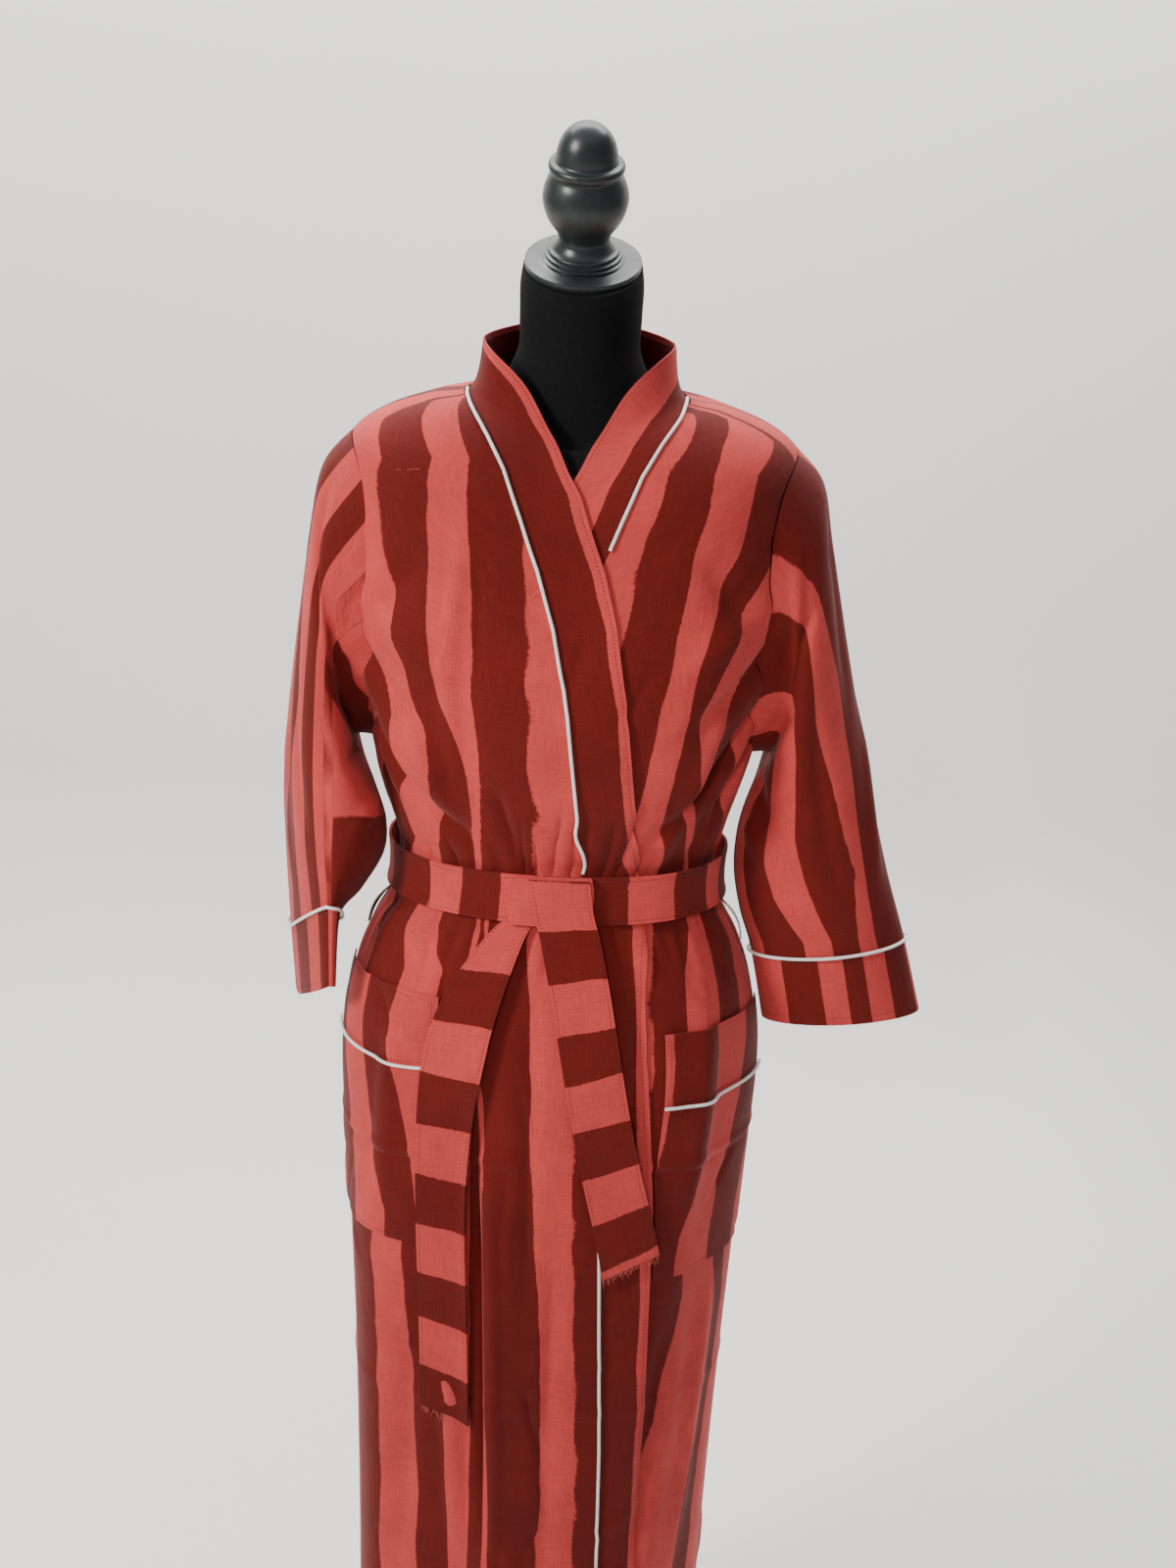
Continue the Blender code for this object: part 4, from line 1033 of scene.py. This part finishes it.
def make_bands():
    lines = band_lines()
    share = np.linspace(0, 1, BAND_COLUMNS)[None, :]
    gap = np.array([gap_degrees(row[0], row[1]) for row in lines])[:, None]
    start = lines[:, :1] + gap
    degrees = start + (lines[:, 2:3] - start) * share
    levels = lines[:, 1:2] + (lines[:, 3:4] - lines[:, 1:2]) * share
    degrees[0] = -90 + gap[0]
    over_numbers = np.interp(share, (0, 0.84, 1), (1.25, 2.0, 2.5))
    under_numbers = np.interp(share, (0, 0.40, 1), (1.30, 2.0, 2.9))[:, ::-1]
    over = body_piece(
        "band_over_cloth", degrees, levels, over_lift(degrees), np.repeat(over_numbers, len(lines), 0)
    )
    under = body_piece(
        "band_under_cloth", -degrees[:, ::-1], levels[:, ::-1], 0.0, np.repeat(under_numbers, len(lines), 0)
    )
    stitch_lines = []
    for place in (0.07, 0.93):
        d, v = band_point(lines[1:], place)
        stitch_lines.append(body_line(d, v, over_lift(d) + STITCH_LIFT))
        shown = d < UNDER_PIPING_ENDS_DEG + 14
        stitch_lines.append(body_line(-d[shown], v[shown], STITCH_LIFT))
    stitches = show_stitches("stitches_bands", stitch_lines)

    gap = gap_degrees(90, 0)
    back_share = np.linspace(1, 0, BAND_COLUMNS)[:, None]
    back_levels = NECK_LEVEL - 0.012 + (BAND_TOP_LEVEL + 0.012) * back_share
    degrees, levels = np.broadcast_arrays(np.linspace(90 + gap, 270 - gap, 80)[None, :], back_levels)
    back_numbers = np.repeat(np.interp(back_share, (0, 0.84, 1), (1.25, 2.0, 2.5)), 80, 1)
    back = body_piece("band_back_cloth", degrees, levels, 0.0, back_numbers)
    finish_piece(over, "robe_cloth", "band_over")
    finish_piece(under, "robe_cloth", "band_under")
    finish_piece(back, "robe_cloth", "band_back")
    return over, under, back, stitches


def make_band_piping():
    lift = WALL + 0.0001 + PIPING_RADIUS
    lines = band_lines()
    seam = lines[lines[:, 1] >= 0.10][:, :2]
    belt_top = level_at(BELT_Z + BELT_WIDTH / 2 + 0.0007)
    belt_foot = level_at(BELT_Z - BELT_WIDTH / 2 - 0.0007)
    cords = []
    for name, rows, side, node in (
        ("piping_over_cord", seam[seam[:, 1] < belt_top], 1, "piping_band_over"),
        ("piping_skirt_cord", seam[seam[:, 1] > belt_foot], 1, "piping_band_skirt"),
        ("piping_under_cord", seam[seam[:, 0] < UNDER_PIPING_ENDS_DEG], -1, "piping_band_under"),
    ):
        raised = over_lift(rows[:, 0]) if side > 0 else 0.0
        path = on_body(side * rows[:, 0], rows[:, 1], raised + lift)
        cords.append(finish_piece(tube(name, path, CORD_RADIUS, white_piping), "piping", node))
    return cords


# Sleeves. Rows of stripe edges: the ring, then the turn of each edge, from the front's outer side inwards.
SLEEVE_ROWS = 96
CUFF_ROWS = 14
AROUND = 108
SLEEVE_POINTEDNESS = {"left": 1.22, "right": 1.05}
RIGHT_SLEEVE_EDGES = [
    (0.0, 78, 96, 128, 150, 175),
    (1.2, 67, 84, 114, 140, 165),
    (2.9, 52, 83, 107, 134, 160),
    (4.5, 48, 66, 106, 132, 158),
    (5.6, 48, 56, 98, 126, 154),
    (6.7, 50, 64, 86, 108, 146),
]
RIGHT_OUTER_DARK_DEG = 66
RIGHT_STRIPES_ROUND = 16
CUFF_EDGES = {"right": (44, 64, 80, 100, 130, 176), "left": (42, 66, 96, 124, 158, 200)}
CUFF_STRIPES_ROUND = 12
LEFT_FRONT_CREASE, LEFT_BACK_CREASE = 104.0, 256.0
LEFT_OUTER_EDGES = (-96, -70, -46, -22, 4, 30, 54, 72, 88)
LEFT_INNER_RINGS = (-3.4, -1.2, 0.85, 2.6, 4.95, 8.6, 10.0)
LEFT_INNER_SLOPE = 1.0 / 60


def armhole_ring(side, turns):
    top, bottom = ARMHOLE_TOP + SLEEVE_HEAD_INSET, ARMHOLE_BOTTOM - SLEEVE_FOOT_INSET
    level = top + (bottom - top) * (1 - np.cos(turns)) / 2
    forward = (ARMHOLE_HALF_DEG - SLEEVE_SIDE_INSET_DEG) * np.sin(turns)
    return on_body(side * (90 - forward), level, 0.0004)


def sleeve_ring(row, turns, pointedness):
    outer_x, outer_z = row[:2]
    inner, front, back = (np.array(row[k:k + 3]) for k in (2, 5, 8))
    middle = np.array(((outer_x + inner[0]) / 2, (front[1] + back[1]) / 2, (outer_z + inner[2]) / 2))
    outer = np.array((outer_x, middle[1], outer_z)) - middle
    c, s = np.cos(turns)[:, None], np.sin(turns)[:, None]
    size_c, size_s = np.abs(c) ** pointedness, np.abs(s) ** pointedness
    return middle + np.where(c > 0, outer, inner - middle) * size_c + np.where(s > 0, front - middle, back - middle) * size_s


def sleeve_turns(name):
    """The turns of the columns. The left sleeve has a pair of columns at each of its two pressed creases."""
    if name == "right":
        return np.linspace(0, 360, AROUND + 1)[:-1]
    inner = np.linspace(LEFT_FRONT_CREASE + 0.3, LEFT_BACK_CREASE, AROUND // 2)
    outer = np.linspace(LEFT_BACK_CREASE + 0.3, LEFT_FRONT_CREASE + 360, AROUND // 2)
    return np.concatenate([outer, inner + 360]) - 360


def outward_normals(grid):
    normals = grid_normals(grid, True)
    return normals * np.sign(((grid - grid.mean(1)[:, None, :]) * normals).sum())


def crease_sleeve(name, grid, rings, degrees):
    """Moves the sleeve's points in and out along its normals by its creases."""
    total = np.zeros(grid.shape[:2])
    for start_ring, start_turn, end_ring, end_turn, spread, depth in SLEEVE_CREASES[name]:
        across = ((degrees[None, :] - start_turn + 180) % 360 - 180) * METRES_PER_TURN_DEGREE
        down = (rings[:, None] - start_ring) * METRES_PER_RING
        run = ((end_turn - start_turn + 180) % 360 - 180) * METRES_PER_TURN_DEGREE
        total += line_dent(across, down, (run, (end_ring - start_ring) * METRES_PER_RING, spread, depth))
    near_ends = smooth_step(0.0, 0.6, rings) * smooth_step(rings[-1], rings[-1] - 0.5, rings)
    return grid + outward_normals(grid) * (total * near_ends[:, None])[..., None]


def sleeve_numbers(name, ring, degrees):
    """The stripe number round one row of a sleeve, with one more column to close it."""
    if name == "right":
        table = np.array(RIGHT_SLEEVE_EDGES)
        edges = np.array([np.interp(ring, table[:, 0], table[:, k]) for k in range(1, table.shape[1])])
        full = RIGHT_STRIPES_ROUND
        numbers = list(range(len(edges))) + [full - 1, full]
        edges = list(edges) + [edges[0] + 360 - RIGHT_OUTER_DARK_DEG, edges[0] + 360]
        turned_on = degrees + np.where(degrees < edges[0], 360, 0)
        values = np.interp(turned_on, edges, numbers)
        values = np.where(degrees < edges[0], values - full, values)
        return np.append(values, values[0] + full)
    outer = np.interp(degrees, LEFT_OUTER_EDGES, np.arange(len(LEFT_OUTER_EDGES)) - 1)
    inner_place = ring + np.clip(degrees - LEFT_FRONT_CREASE, 0, 100) * LEFT_INNER_SLOPE
    inner = np.interp(inner_place, LEFT_INNER_RINGS, np.arange(len(LEFT_INNER_RINGS)) - 1)
    values = np.where(degrees > LEFT_FRONT_CREASE + 0.1, inner, outer)
    return np.append(values, values[0])


def cuff_numbers(name, degrees):
    edges = list(CUFF_EDGES[name])
    numbers = list(range(len(edges))) + [CUFF_STRIPES_ROUND]
    edges.append(edges[0] + 360)
    low = degrees < edges[0]
    values = np.interp(degrees + np.where(low, 360, 0), edges, numbers) - np.where(low, CUFF_STRIPES_ROUND, 0)
    return np.append(values, values[0] + CUFF_STRIPES_ROUND)


def make_sleeve(name, side):
    degrees = sleeve_turns(name)
    turns = np.radians(degrees)
    rings = [armhole_ring(side, turns)]
    for k, row in enumerate(SLEEVE_RINGS[name]):
        pointedness = 1 + (SLEEVE_POINTEDNESS[name] - 1) * min(1.0, (k + 1) / 3)
        rings.append(sleeve_ring(row, turns, pointedness))
    stack = np.array(rings)
    flat = stack.reshape(len(stack), -1)
    last = len(stack) - 2
    sleeve_places = np.linspace(0, last, SLEEVE_ROWS)
    cuff_places = last + 0.008 + 0.992 * np.linspace(0, 1, CUFF_ROWS)
    sleeve = along(flat, sleeve_places).reshape(SLEEVE_ROWS, len(turns), 3)
    sleeve = crease_sleeve(name, sleeve, sleeve_places, degrees)
    cuff = along(flat, cuff_places).reshape(CUFF_ROWS, len(turns), 3)
    width = np.append(degrees, degrees[0] + 360) * METRES_PER_TURN_DEGREE
    made = []
    for label, grid, places in (("sleeve", sleeve, sleeve_places), ("cuff", cuff, cuff_places)):
        down = np.cumsum(np.linalg.norm(np.diff(grid, axis=0, prepend=grid[:1]), axis=2), axis=0).mean(1)[:, None]
        thread = np.stack(np.broadcast_arrays(width[None, :], down), -1)
        numbers = np.array([
            sleeve_numbers(name, place, degrees) if label == "sleeve" else cuff_numbers(name, degrees)
            for place in places
        ])
        stripe = np.stack(np.broadcast_arrays(numbers, down), -1)
        obj = shell(f"{label}_{name}_cloth", grid, stripe, thread, sleeve_cloth, wrap=True)
        made.append(finish_piece(obj, "robe_cloth", f"{label}_{name}"))
    normals = outward_normals(sleeve)
    path = sleeve[-1] + normals[-1] * (WALL + 0.0001 + PIPING_RADIUS)
    if name == "left":
        path = np.delete(path, (len(path) // 2 - 1, len(path) - 1), axis=0)
    cord = tube(f"piping_cuff_{name}_cord", path, CORD_RADIUS, white_piping, closed=True)
    finish_piece(cord, "piping", f"piping_cuff_{name}")
    cuff_normals = outward_normals(cuff)
    stitch_lines = []
    for row in (1, CUFF_ROWS - 3):
        line = cuff[row] + cuff_normals[row] * STITCH_LIFT
        stitch_lines.append((np.concatenate([line, line[:1]]), np.concatenate([cuff_normals[row], cuff_normals[row][:1]])))
    stitches = show_stitches(f"stitches_cuff_{name}", stitch_lines)
    return (*made, cord, stitches)


# Pockets, belt and loops
POCKET_COLUMNS = 48
POCKET_EDGE_STITCH_DEG = 1.6


def pocket_span(pocket, z):
    """(level, first angle, last angle) of a pocket at a height."""
    level = float(level_at(z))
    seam = seam_angle(level)
    start = -90.0 + gap_degrees(-90, level)
    step = (seam - gap_degrees(seam, level) - start) / (FRONT_COLUMNS - 1)
    first, last = start + step * POCKET_STARTS, start + step * pocket.columns
    if not pocket.lifted:
        last = min(last, -band_run(level)[1] - POCKET_TO_BAND_DEG)
        first, last = -last, -first
    return level, first, last


def make_pocket(pocket):
    def lift(d):
        return (over_lift(d) if pocket.lifted else 0.0) + WALL + POCKET_GAP

    seam = pocket.top - POCKET_BAND
    made = []
    for label, top, bottom, count in (
        ("pocket", seam - SEAM_GAP / 2, pocket.bottom, 84),
        ("pocket_band", pocket.top, seam + SEAM_GAP / 2, 34),
    ):
        spans = [pocket_span(pocket, z) for z in np.linspace(top, bottom, count)]
        degrees = np.array([np.linspace(first, last, POCKET_COLUMNS) for _, first, last in spans])
        levels = np.repeat(np.array([[span[0]] for span in spans]), POCKET_COLUMNS, 1)
        stripes = np.array([
            stripe_numbers(POCKET_STRIPES[pocket.name], row, float(front_height(v[0]))) for row, v in zip(degrees, levels)
        ])
        obj = body_piece(f"{label}_{pocket.name}_cloth", degrees, levels, lift(degrees), stripes)
        made.append(finish_piece(obj, "robe_cloth", f"{label}_{pocket.name}"))
    level, first, last = pocket_span(pocket, seam)
    d = np.linspace(first, last, POCKET_COLUMNS)
    path = on_body(d, level, lift(d) + WALL + 0.0001 + PIPING_RADIUS)
    cord = tube(f"piping_pocket_{pocket.name}_cord", path, CORD_RADIUS, white_piping)
    finish_piece(cord, "piping", f"piping_pocket_{pocket.name}")
    sides = np.array([pocket_span(pocket, z) for z in np.linspace(pocket.top - 0.003, pocket.bottom + 0.003, 60)])
    stitch_lines = []
    for angles in (sides[:, 1] + POCKET_EDGE_STITCH_DEG, sides[:, 2] - POCKET_EDGE_STITCH_DEG):
        stitch_lines.append(body_line(angles, sides[:, 0], lift(angles) + STITCH_LIFT))
    for z in (pocket.top - 0.004, seam + 0.004, pocket.bottom + 0.004):
        level, first, last = pocket_span(pocket, z)
        d = np.linspace(first + POCKET_EDGE_STITCH_DEG, last - POCKET_EDGE_STITCH_DEG, POCKET_COLUMNS)
        stitch_lines.append(body_line(d, level, lift(d) + STITCH_LIFT))
    stitches = show_stitches(f"stitches_pocket_{pocket.name}", stitch_lines)
    return (*made, cord, stitches)


BELT_EDGES_X = (-0.1075, -0.0799, -0.0473, -0.0197, 0.0640, 0.1025, 0.1300, 0.1405)
BELT_STRIPES_ROUND = 18


def strip_grid(table, rows, slant, columns=18):
    """Points of a flat length of belt hanging on the body."""
    z, x, half_width, lift = along(table, np.linspace(0, len(table) - 1, rows)).T[..., None]
    side = np.linspace(-1, 1, columns)[None, :]
    share = (table[0][0] - z) / (table[0][0] - table[-1][0])
    levels = level_at(z + side * slant * share)
    degrees = angle_at(x + side * half_width, levels)
    return on_body(degrees, levels, np.broadcast_to(lift, degrees.shape), creased=False)


def belt_strip(name, node, grid, thickness, first_stripe, stripe_width):
    """A length of belt with stripes across it, which wander a little from side to side."""
    thread = thread_map(grid)
    stripe = np.stack((first_stripe + thread[..., 1] / stripe_width, thread[..., 0]), -1)
    return finish_piece(shell(name, grid, stripe, thread, robe_cloth, thickness=thickness), "robe_cloth", node)


def strip_stitches(grid, thickness, inset):
    """Topstitching near both edges of a belt strip."""
    normals = grid_normals(grid, False)
    columns = grid.shape[1]
    return [
        (grid[:, k] + normals[:, k] * (thickness - 0.0001), normals[:, k]) for k in (inset, columns - 1 - inset)
    ]


def loose_threads(name, spots, seed):
    """Thin curling threads. spots holds (point, direction, length)."""
    pick = random.Random(seed)
    points, faces = [], []
    for start, direction, length in spots:
        place = Vector(start)
        heading = Vector(direction).normalized()
        for i in range(6):
            radius = 0.00026 * (1 - 0.1 * i)
            across = heading.orthogonal().normalized() * radius
            other = heading.cross(across).normalized() * radius
            n = len(points)
            for k in range(3):
                a = 2 * math.pi * k / 3
                points.append(place + across * math.cos(a) + other * math.sin(a))
            if i:
                for k in range(3):
                    m = (k + 1) % 3
                    faces.append([n - 3 + k, n - 3 + m, n + m, n + k])
            else:
                faces.append([n + 2, n + 1, n])
            heading = (heading + Vector([pick.uniform(-0.4, 0.4), pick.uniform(-0.15, 0.05), pick.uniform(-0.25, 0.2)]))
            heading.normalize()
            place = place + heading * (length / 5)
        faces.append([len(points) - 3, len(points) - 2, len(points) - 1])
    obj = add_mesh(name, points, faces)
    obj.data.materials.append(thread_pink)
    return finish_piece(obj, "robe_cloth")


def frayed_end(name, grid, thickness, seed):
    """Short threads hanging from the raw end of a belt tail."""
    pick = random.Random(seed)
    spots = []
    columns = grid.shape[1]
    normals = grid_normals(grid, False)
    for _ in range(46):
        place = pick.uniform(0, columns - 1)
        i = min(int(place), columns - 2)
        edge = grid[-1, i] + (grid[-1, i + 1] - grid[-1, i]) * (place - i)
        start = edge + normals[-1, i] * thickness * pick.uniform(0.2, 0.8)
        spots.append((start, (pick.uniform(-0.35, 0.35), pick.uniform(-0.12, 0.02), -1), pick.uniform(0.003, 0.010)))
    return loose_threads(name, spots, seed)


def make_belt():
    columns = 260
    level = float(level_at(BELT_Z))
    edges = [float(angle_at(x * 0.955, level)) for x in BELT_EDGES_X]
    degrees = (edges[0] + np.linspace(0, 360, columns + 1)[:-1])[None, :]
    heights = np.linspace(BELT_Z + BELT_WIDTH / 2, BELT_Z - BELT_WIDTH / 2, 14)
    levels = level_at(heights)[:, None]
    degrees, levels = np.broadcast_arrays(degrees, levels)
    grid = on_body(degrees, levels, BELT_LIFT, creased=False)
    closed = np.concatenate([grid, grid[:, :1]], 1)
    thread = thread_map(closed)
    around = np.append(degrees[0], degrees[0, 0] + 360)
    numbers = np.interp(around, edges + [edges[0] + 360], list(range(len(edges))) + [BELT_STRIPES_ROUND])
    stripe = np.stack(np.broadcast_arrays(numbers[None, :], thread[..., 1]), -1)
    ring = shell("belt_ring_cloth", grid, stripe, thread, robe_cloth, thickness=BELT_THICKNESS, wrap=True)
    finish_piece(ring, "robe_cloth", "belt_ring")
    ring_lines = []
    for row in (1, 12):
        line_degrees = np.append(degrees[row], degrees[row, 0] + 360)
        points = on_body(line_degrees, levels[row, 0], BELT_LIFT + BELT_THICKNESS - 0.0001, creased=False)
        ring_lines.append((points, surface_normal(line_degrees, np.full(len(line_degrees), levels[row, 0]), False)))

    knot_grid = strip_grid(KNOT, 26, 0.0, 26)
    left_grid = strip_grid(TAIL_LEFT, 110, TAIL_SLANT["left"])
    right_grid = strip_grid(TAIL_RIGHT, 96, TAIL_SLANT["right"])
    knot = belt_strip("belt_knot_cloth", "belt_knot", knot_grid, KNOT_THICKNESS, 0.22, 0.12)
    left = belt_strip("belt_tail_left_cloth", "belt_tail_left", left_grid, BELT_THICKNESS, 0.02, 0.0512)
    right = belt_strip("belt_tail_right_cloth", "belt_tail_right", right_grid, BELT_THICKNESS, 0.0, 0.0452)
    stitches = show_stitches("stitches_belt", ring_lines)
    left_stitches = show_stitches("stitches_tail_left", strip_stitches(left_grid, BELT_THICKNESS, 1))
    right_stitches = show_stitches("stitches_tail_right", strip_stitches(right_grid, BELT_THICKNESS, 1))
    left_fray = frayed_end("frayed_end_left", left_grid, BELT_THICKNESS, 11)
    right_fray = frayed_end("frayed_end_right", right_grid, BELT_THICKNESS, 12)
    return ring, knot, left, right, stitches, left_stitches, right_stitches, left_fray, right_fray


def make_belt_loop(name, side):
    """A narrow strap on the side seam, bowed out between its two ends."""
    degrees, levels, lifts = [], [], []
    for t in np.linspace(0, 1, 25):
        level = float(level_at(LOOP_TOP - LOOP_LENGTH * t))
        half = math.degrees(LOOP_WIDTH / 2 / abs(float(surface(90, level, creased=False)[0])))
        degrees.append(np.linspace(side * 90 - half, side * 90 + half, 6))
        levels.append(np.full(6, level))
        lifts.append(np.full(6, WALL + 0.0006 + LOOP_BOW * math.sin(math.pi * t)))
    degrees, levels, lifts = np.array(degrees), np.array(levels), np.array(lifts)
    loop = body_piece(f"belt_loop_{name}_cloth", degrees, levels, lifts, np.full(degrees.shape, 1.5))
    front = 0 if side > 0 else 5
    path = on_body(degrees[:, front], levels[:, front], lifts[:, front] + CLOTH)
    edge = tube(f"belt_loop_{name}_edge", path, 0.0006, white_piping, sides=6)
    return finish_piece(loop, "robe_cloth", f"belt_loop_{name}"), finish_piece(edge, "piping")


# Dress form and stand
FORM_SIDES = 120
FORM_ROWS_BETWEEN = 5


def form_point(degrees, level):
    """The form under the robe has no folds, and stays inside the deepest of them."""
    front = np.maximum(0.0, np.cos(np.radians(degrees)))
    shoulder = 0.0007 + 0.0040 * smooth_step(0.0, 0.3, front)
    ease = shoulder + (0.0120 - shoulder) * smooth_step(1.4, 3.6, level)
    flat = surface(degrees, np.full(degrees.shape, level), folded=False)
    return flat - surface_normal(degrees, np.full(degrees.shape, level), creased=False) * ease[..., None]


def make_form():
    degrees = 90 + 360 * np.arange(FORM_SIDES) / FORM_SIDES
    a = np.radians(degrees)
    rings = []
    for z, radius, tilt in NECK_RINGS:
        y = -radius * 1.03 * np.cos(a)
        rings.append(np.stack((radius * np.sin(a), y + NECK_Y, z + y * math.tan(CAP_TILT) * tilt), -1))
    base = surface(degrees, np.full(degrees.shape, NECK_LEVEL), folded=False)
    rings.append(base * (0.80, 0.80, 1.0) - (0, 0, 0.001))
    for level in FORM_LEVELS + [float(level_at(FORM_BOTTOM))]:
        rings.append(form_point(degrees, level))
    flat = np.array(rings).reshape(len(rings), -1)
    rows = (len(rings) - 1) * FORM_ROWS_BETWEEN + 1
    grid = along(flat, np.linspace(0, len(rings) - 1, rows)).reshape(rows, FORM_SIDES, 3)
    faces = []
    for i in range(rows - 1):
        for k in range(FORM_SIDES):
            n = (k + 1) % FORM_SIDES
            faces.append([i * FORM_SIDES + k, (i + 1) * FORM_SIDES + k, (i + 1) * FORM_SIDES + n, i * FORM_SIDES + n])
    faces.append(list(range(FORM_SIDES)))
    faces.append([(rows - 1) * FORM_SIDES + k for k in range(FORM_SIDES)][::-1])
    torso = add_mesh("form_torso_jersey", grid.reshape(-1, 3), faces)
    torso.data.materials.append(black_jersey)
    finish_piece(torso, "form_jersey", "form_torso")

    finial = turned("finial_turned", FINIAL_PROFILE, 72, satin_paint)
    finial.location = (0, NECK_Y - 0.0003 * math.sin(CAP_TILT), NECK_TOP + 0.0003)
    finial.rotation_euler = (CAP_TILT, 0, 0)
    finish_piece(finial, "finial_paint", "finial")
    pole = turned("stand_pole_tube", POLE_PROFILE, 48, powder_coat, steps=1)
    finish_piece(pole, "stand_metal", "stand_pole")
    base = turned("stand_base_disc", BASE_PROFILE, 120, powder_coat, steps=1)
    finish_piece(base, "stand_metal", "stand_base")
    return torso


thread_pink = bpy.data.materials.new("loose_thread")
thread_pink.use_nodes = True
thread_pink.node_tree.nodes["Principled BSDF"].inputs["Base Color"].default_value = (0.55, 0.10, 0.09, 1)
thread_pink.node_tree.nodes["Principled BSDF"].inputs["Roughness"].default_value = 0.8

back, back_stitches = make_back()
front_over, front_under, front_stitches = make_fronts()
band_over, band_under, band_back, band_stitches = make_bands()
cords = make_band_piping()
threads = loose_threads("loose_threads", [
    (on_body(-62, level_at(1.300), OVER_LIFT + CLOTH), (0.9, -0.4, -0.2), 0.022),
    (on_body(-14, level_at(1.262), OVER_LIFT + CLOTH), (0.6, -0.4, 0.6), 0.016),
    (on_body(46, level_at(1.130), CLOTH), (-0.9, -0.4, 0.2), 0.030),
], 5)
torso = make_form()
for each_name, each_side in (("right", 1), ("left", -1)):
    sleeve, cuff, cord, stitches = make_sleeve(each_name, each_side)
    loop, loop_edge = make_belt_loop(each_name, each_side)
for each_pocket in POCKETS:
    pocket_body, pocket_band, cord, stitches = make_pocket(each_pocket)
ring, knot, tail_left, tail_right, ring_stitches, left_stitches, right_stitches, left_fray, right_fray = make_belt()


# Camera, light and floor
CAMERA_TARGET = Vector((0.0242, 0.0, 1.071))
CAMERA_DISTANCE = 2.1
CAMERA_PITCH = math.radians(18)
CAMERA_ROLL = math.radians(2.67)


def add_camera():
    camera = bpy.data.objects.new("camera", bpy.data.cameras.new("camera"))
    bpy.context.scene.collection.objects.link(camera)
    back = Vector((0, -math.cos(CAMERA_PITCH), math.sin(CAMERA_PITCH)))
    camera.location = CAMERA_TARGET + back * CAMERA_DISTANCE
    camera.rotation_mode = "QUATERNION"
    look = (-back).to_track_quat("-Z", "Y")
    camera.rotation_quaternion = look @ Quaternion((0, 0, 1), CAMERA_ROLL)
    camera.data.lens = 54.0
    camera.data.sensor_width = 36.0
    bpy.context.scene.camera = camera


def area_light(name, location, target, size, power, color):
    data = bpy.data.lights.new(name, "AREA")
    data.shape = "RECTANGLE"
    data.size, data.size_y = size
    data.energy = power
    data.color = color
    light = bpy.data.objects.new(name, data)
    light.location = location
    light.rotation_euler = (Vector(target) - Vector(location)).to_track_quat("-Z", "Y").to_euler()
    bpy.context.scene.collection.objects.link(light)


def make_stage():
    nodes = Nodes("studio_paper", (0.72, 0.71, 0.70, 1))
    place = nodes.add("ShaderNodeTexCoord").outputs["Object"]
    nodes.put(nodes.shader.inputs["Base Color"], nodes.mix(
        nodes.noise(place, 1.3, 2.0), (0.80, 0.79, 0.77, 1), (0.86, 0.85, 0.83, 1)))
    nodes.shader.inputs["Roughness"].default_value = 0.95
    points, faces = [], []
    profile = [(-6.0, 0.0), (1.2, 0.0)]
    profile += [(1.2 + 0.5 * math.sin(a), 0.5 - 0.5 * math.cos(a)) for a in np.linspace(0.15, math.pi / 2, 9)]
    profile += [(1.7, 4.5)]
    for y, z in profile:
        points += [(-5.0, y, z), (5.0, y, z)]
    for i in range(len(profile) - 1):
        faces.append([2 * i, 2 * i + 1, 2 * i + 3, 2 * i + 2])
    paper = add_mesh("studio_sweep", points, faces)
    paper.data.materials.append(nodes.material)


def make_light():
    world = bpy.data.worlds.new("studio")
    world.use_nodes = True
    world.node_tree.nodes["Background"].inputs["Color"].default_value = (0.93, 0.95, 1.0, 1)
    world.node_tree.nodes["Background"].inputs["Strength"].default_value = 0.25
    bpy.context.scene.world = world
    area_light("key_window", (-1.9, -1.5, 2.3), (0.0, 0.0, 1.0), (0.5, 0.7), 74, (1.0, 0.985, 0.96))
    area_light("top_fill", (0.2, -1.2, 3.2), (0.0, 0.0, 1.0), (2.5, 2.0), 11, (0.96, 0.98, 1.0))
    area_light("backdrop_wash", (0.0, 0.9, 3.4), (0.0, 1.5, 0.0), (3.5, 1.0), 160, (1.0, 1.0, 1.0))
    spot = bpy.data.lights.new("centre_light", "SPOT")
    spot.energy = 120
    spot.spot_size = math.radians(17)
    spot.spot_blend = 1.0
    spot.shadow_soft_size = 0.12
    lamp = bpy.data.objects.new("centre_light", spot)
    lamp.location = (-0.4, -2.6, 2.2)
    lamp.rotation_euler = (Vector((0.07, 0.0, 0.98)) - lamp.location).to_track_quat("-Z", "Y").to_euler()
    bpy.context.scene.collection.objects.link(lamp)


add_camera()
make_stage()
make_light()
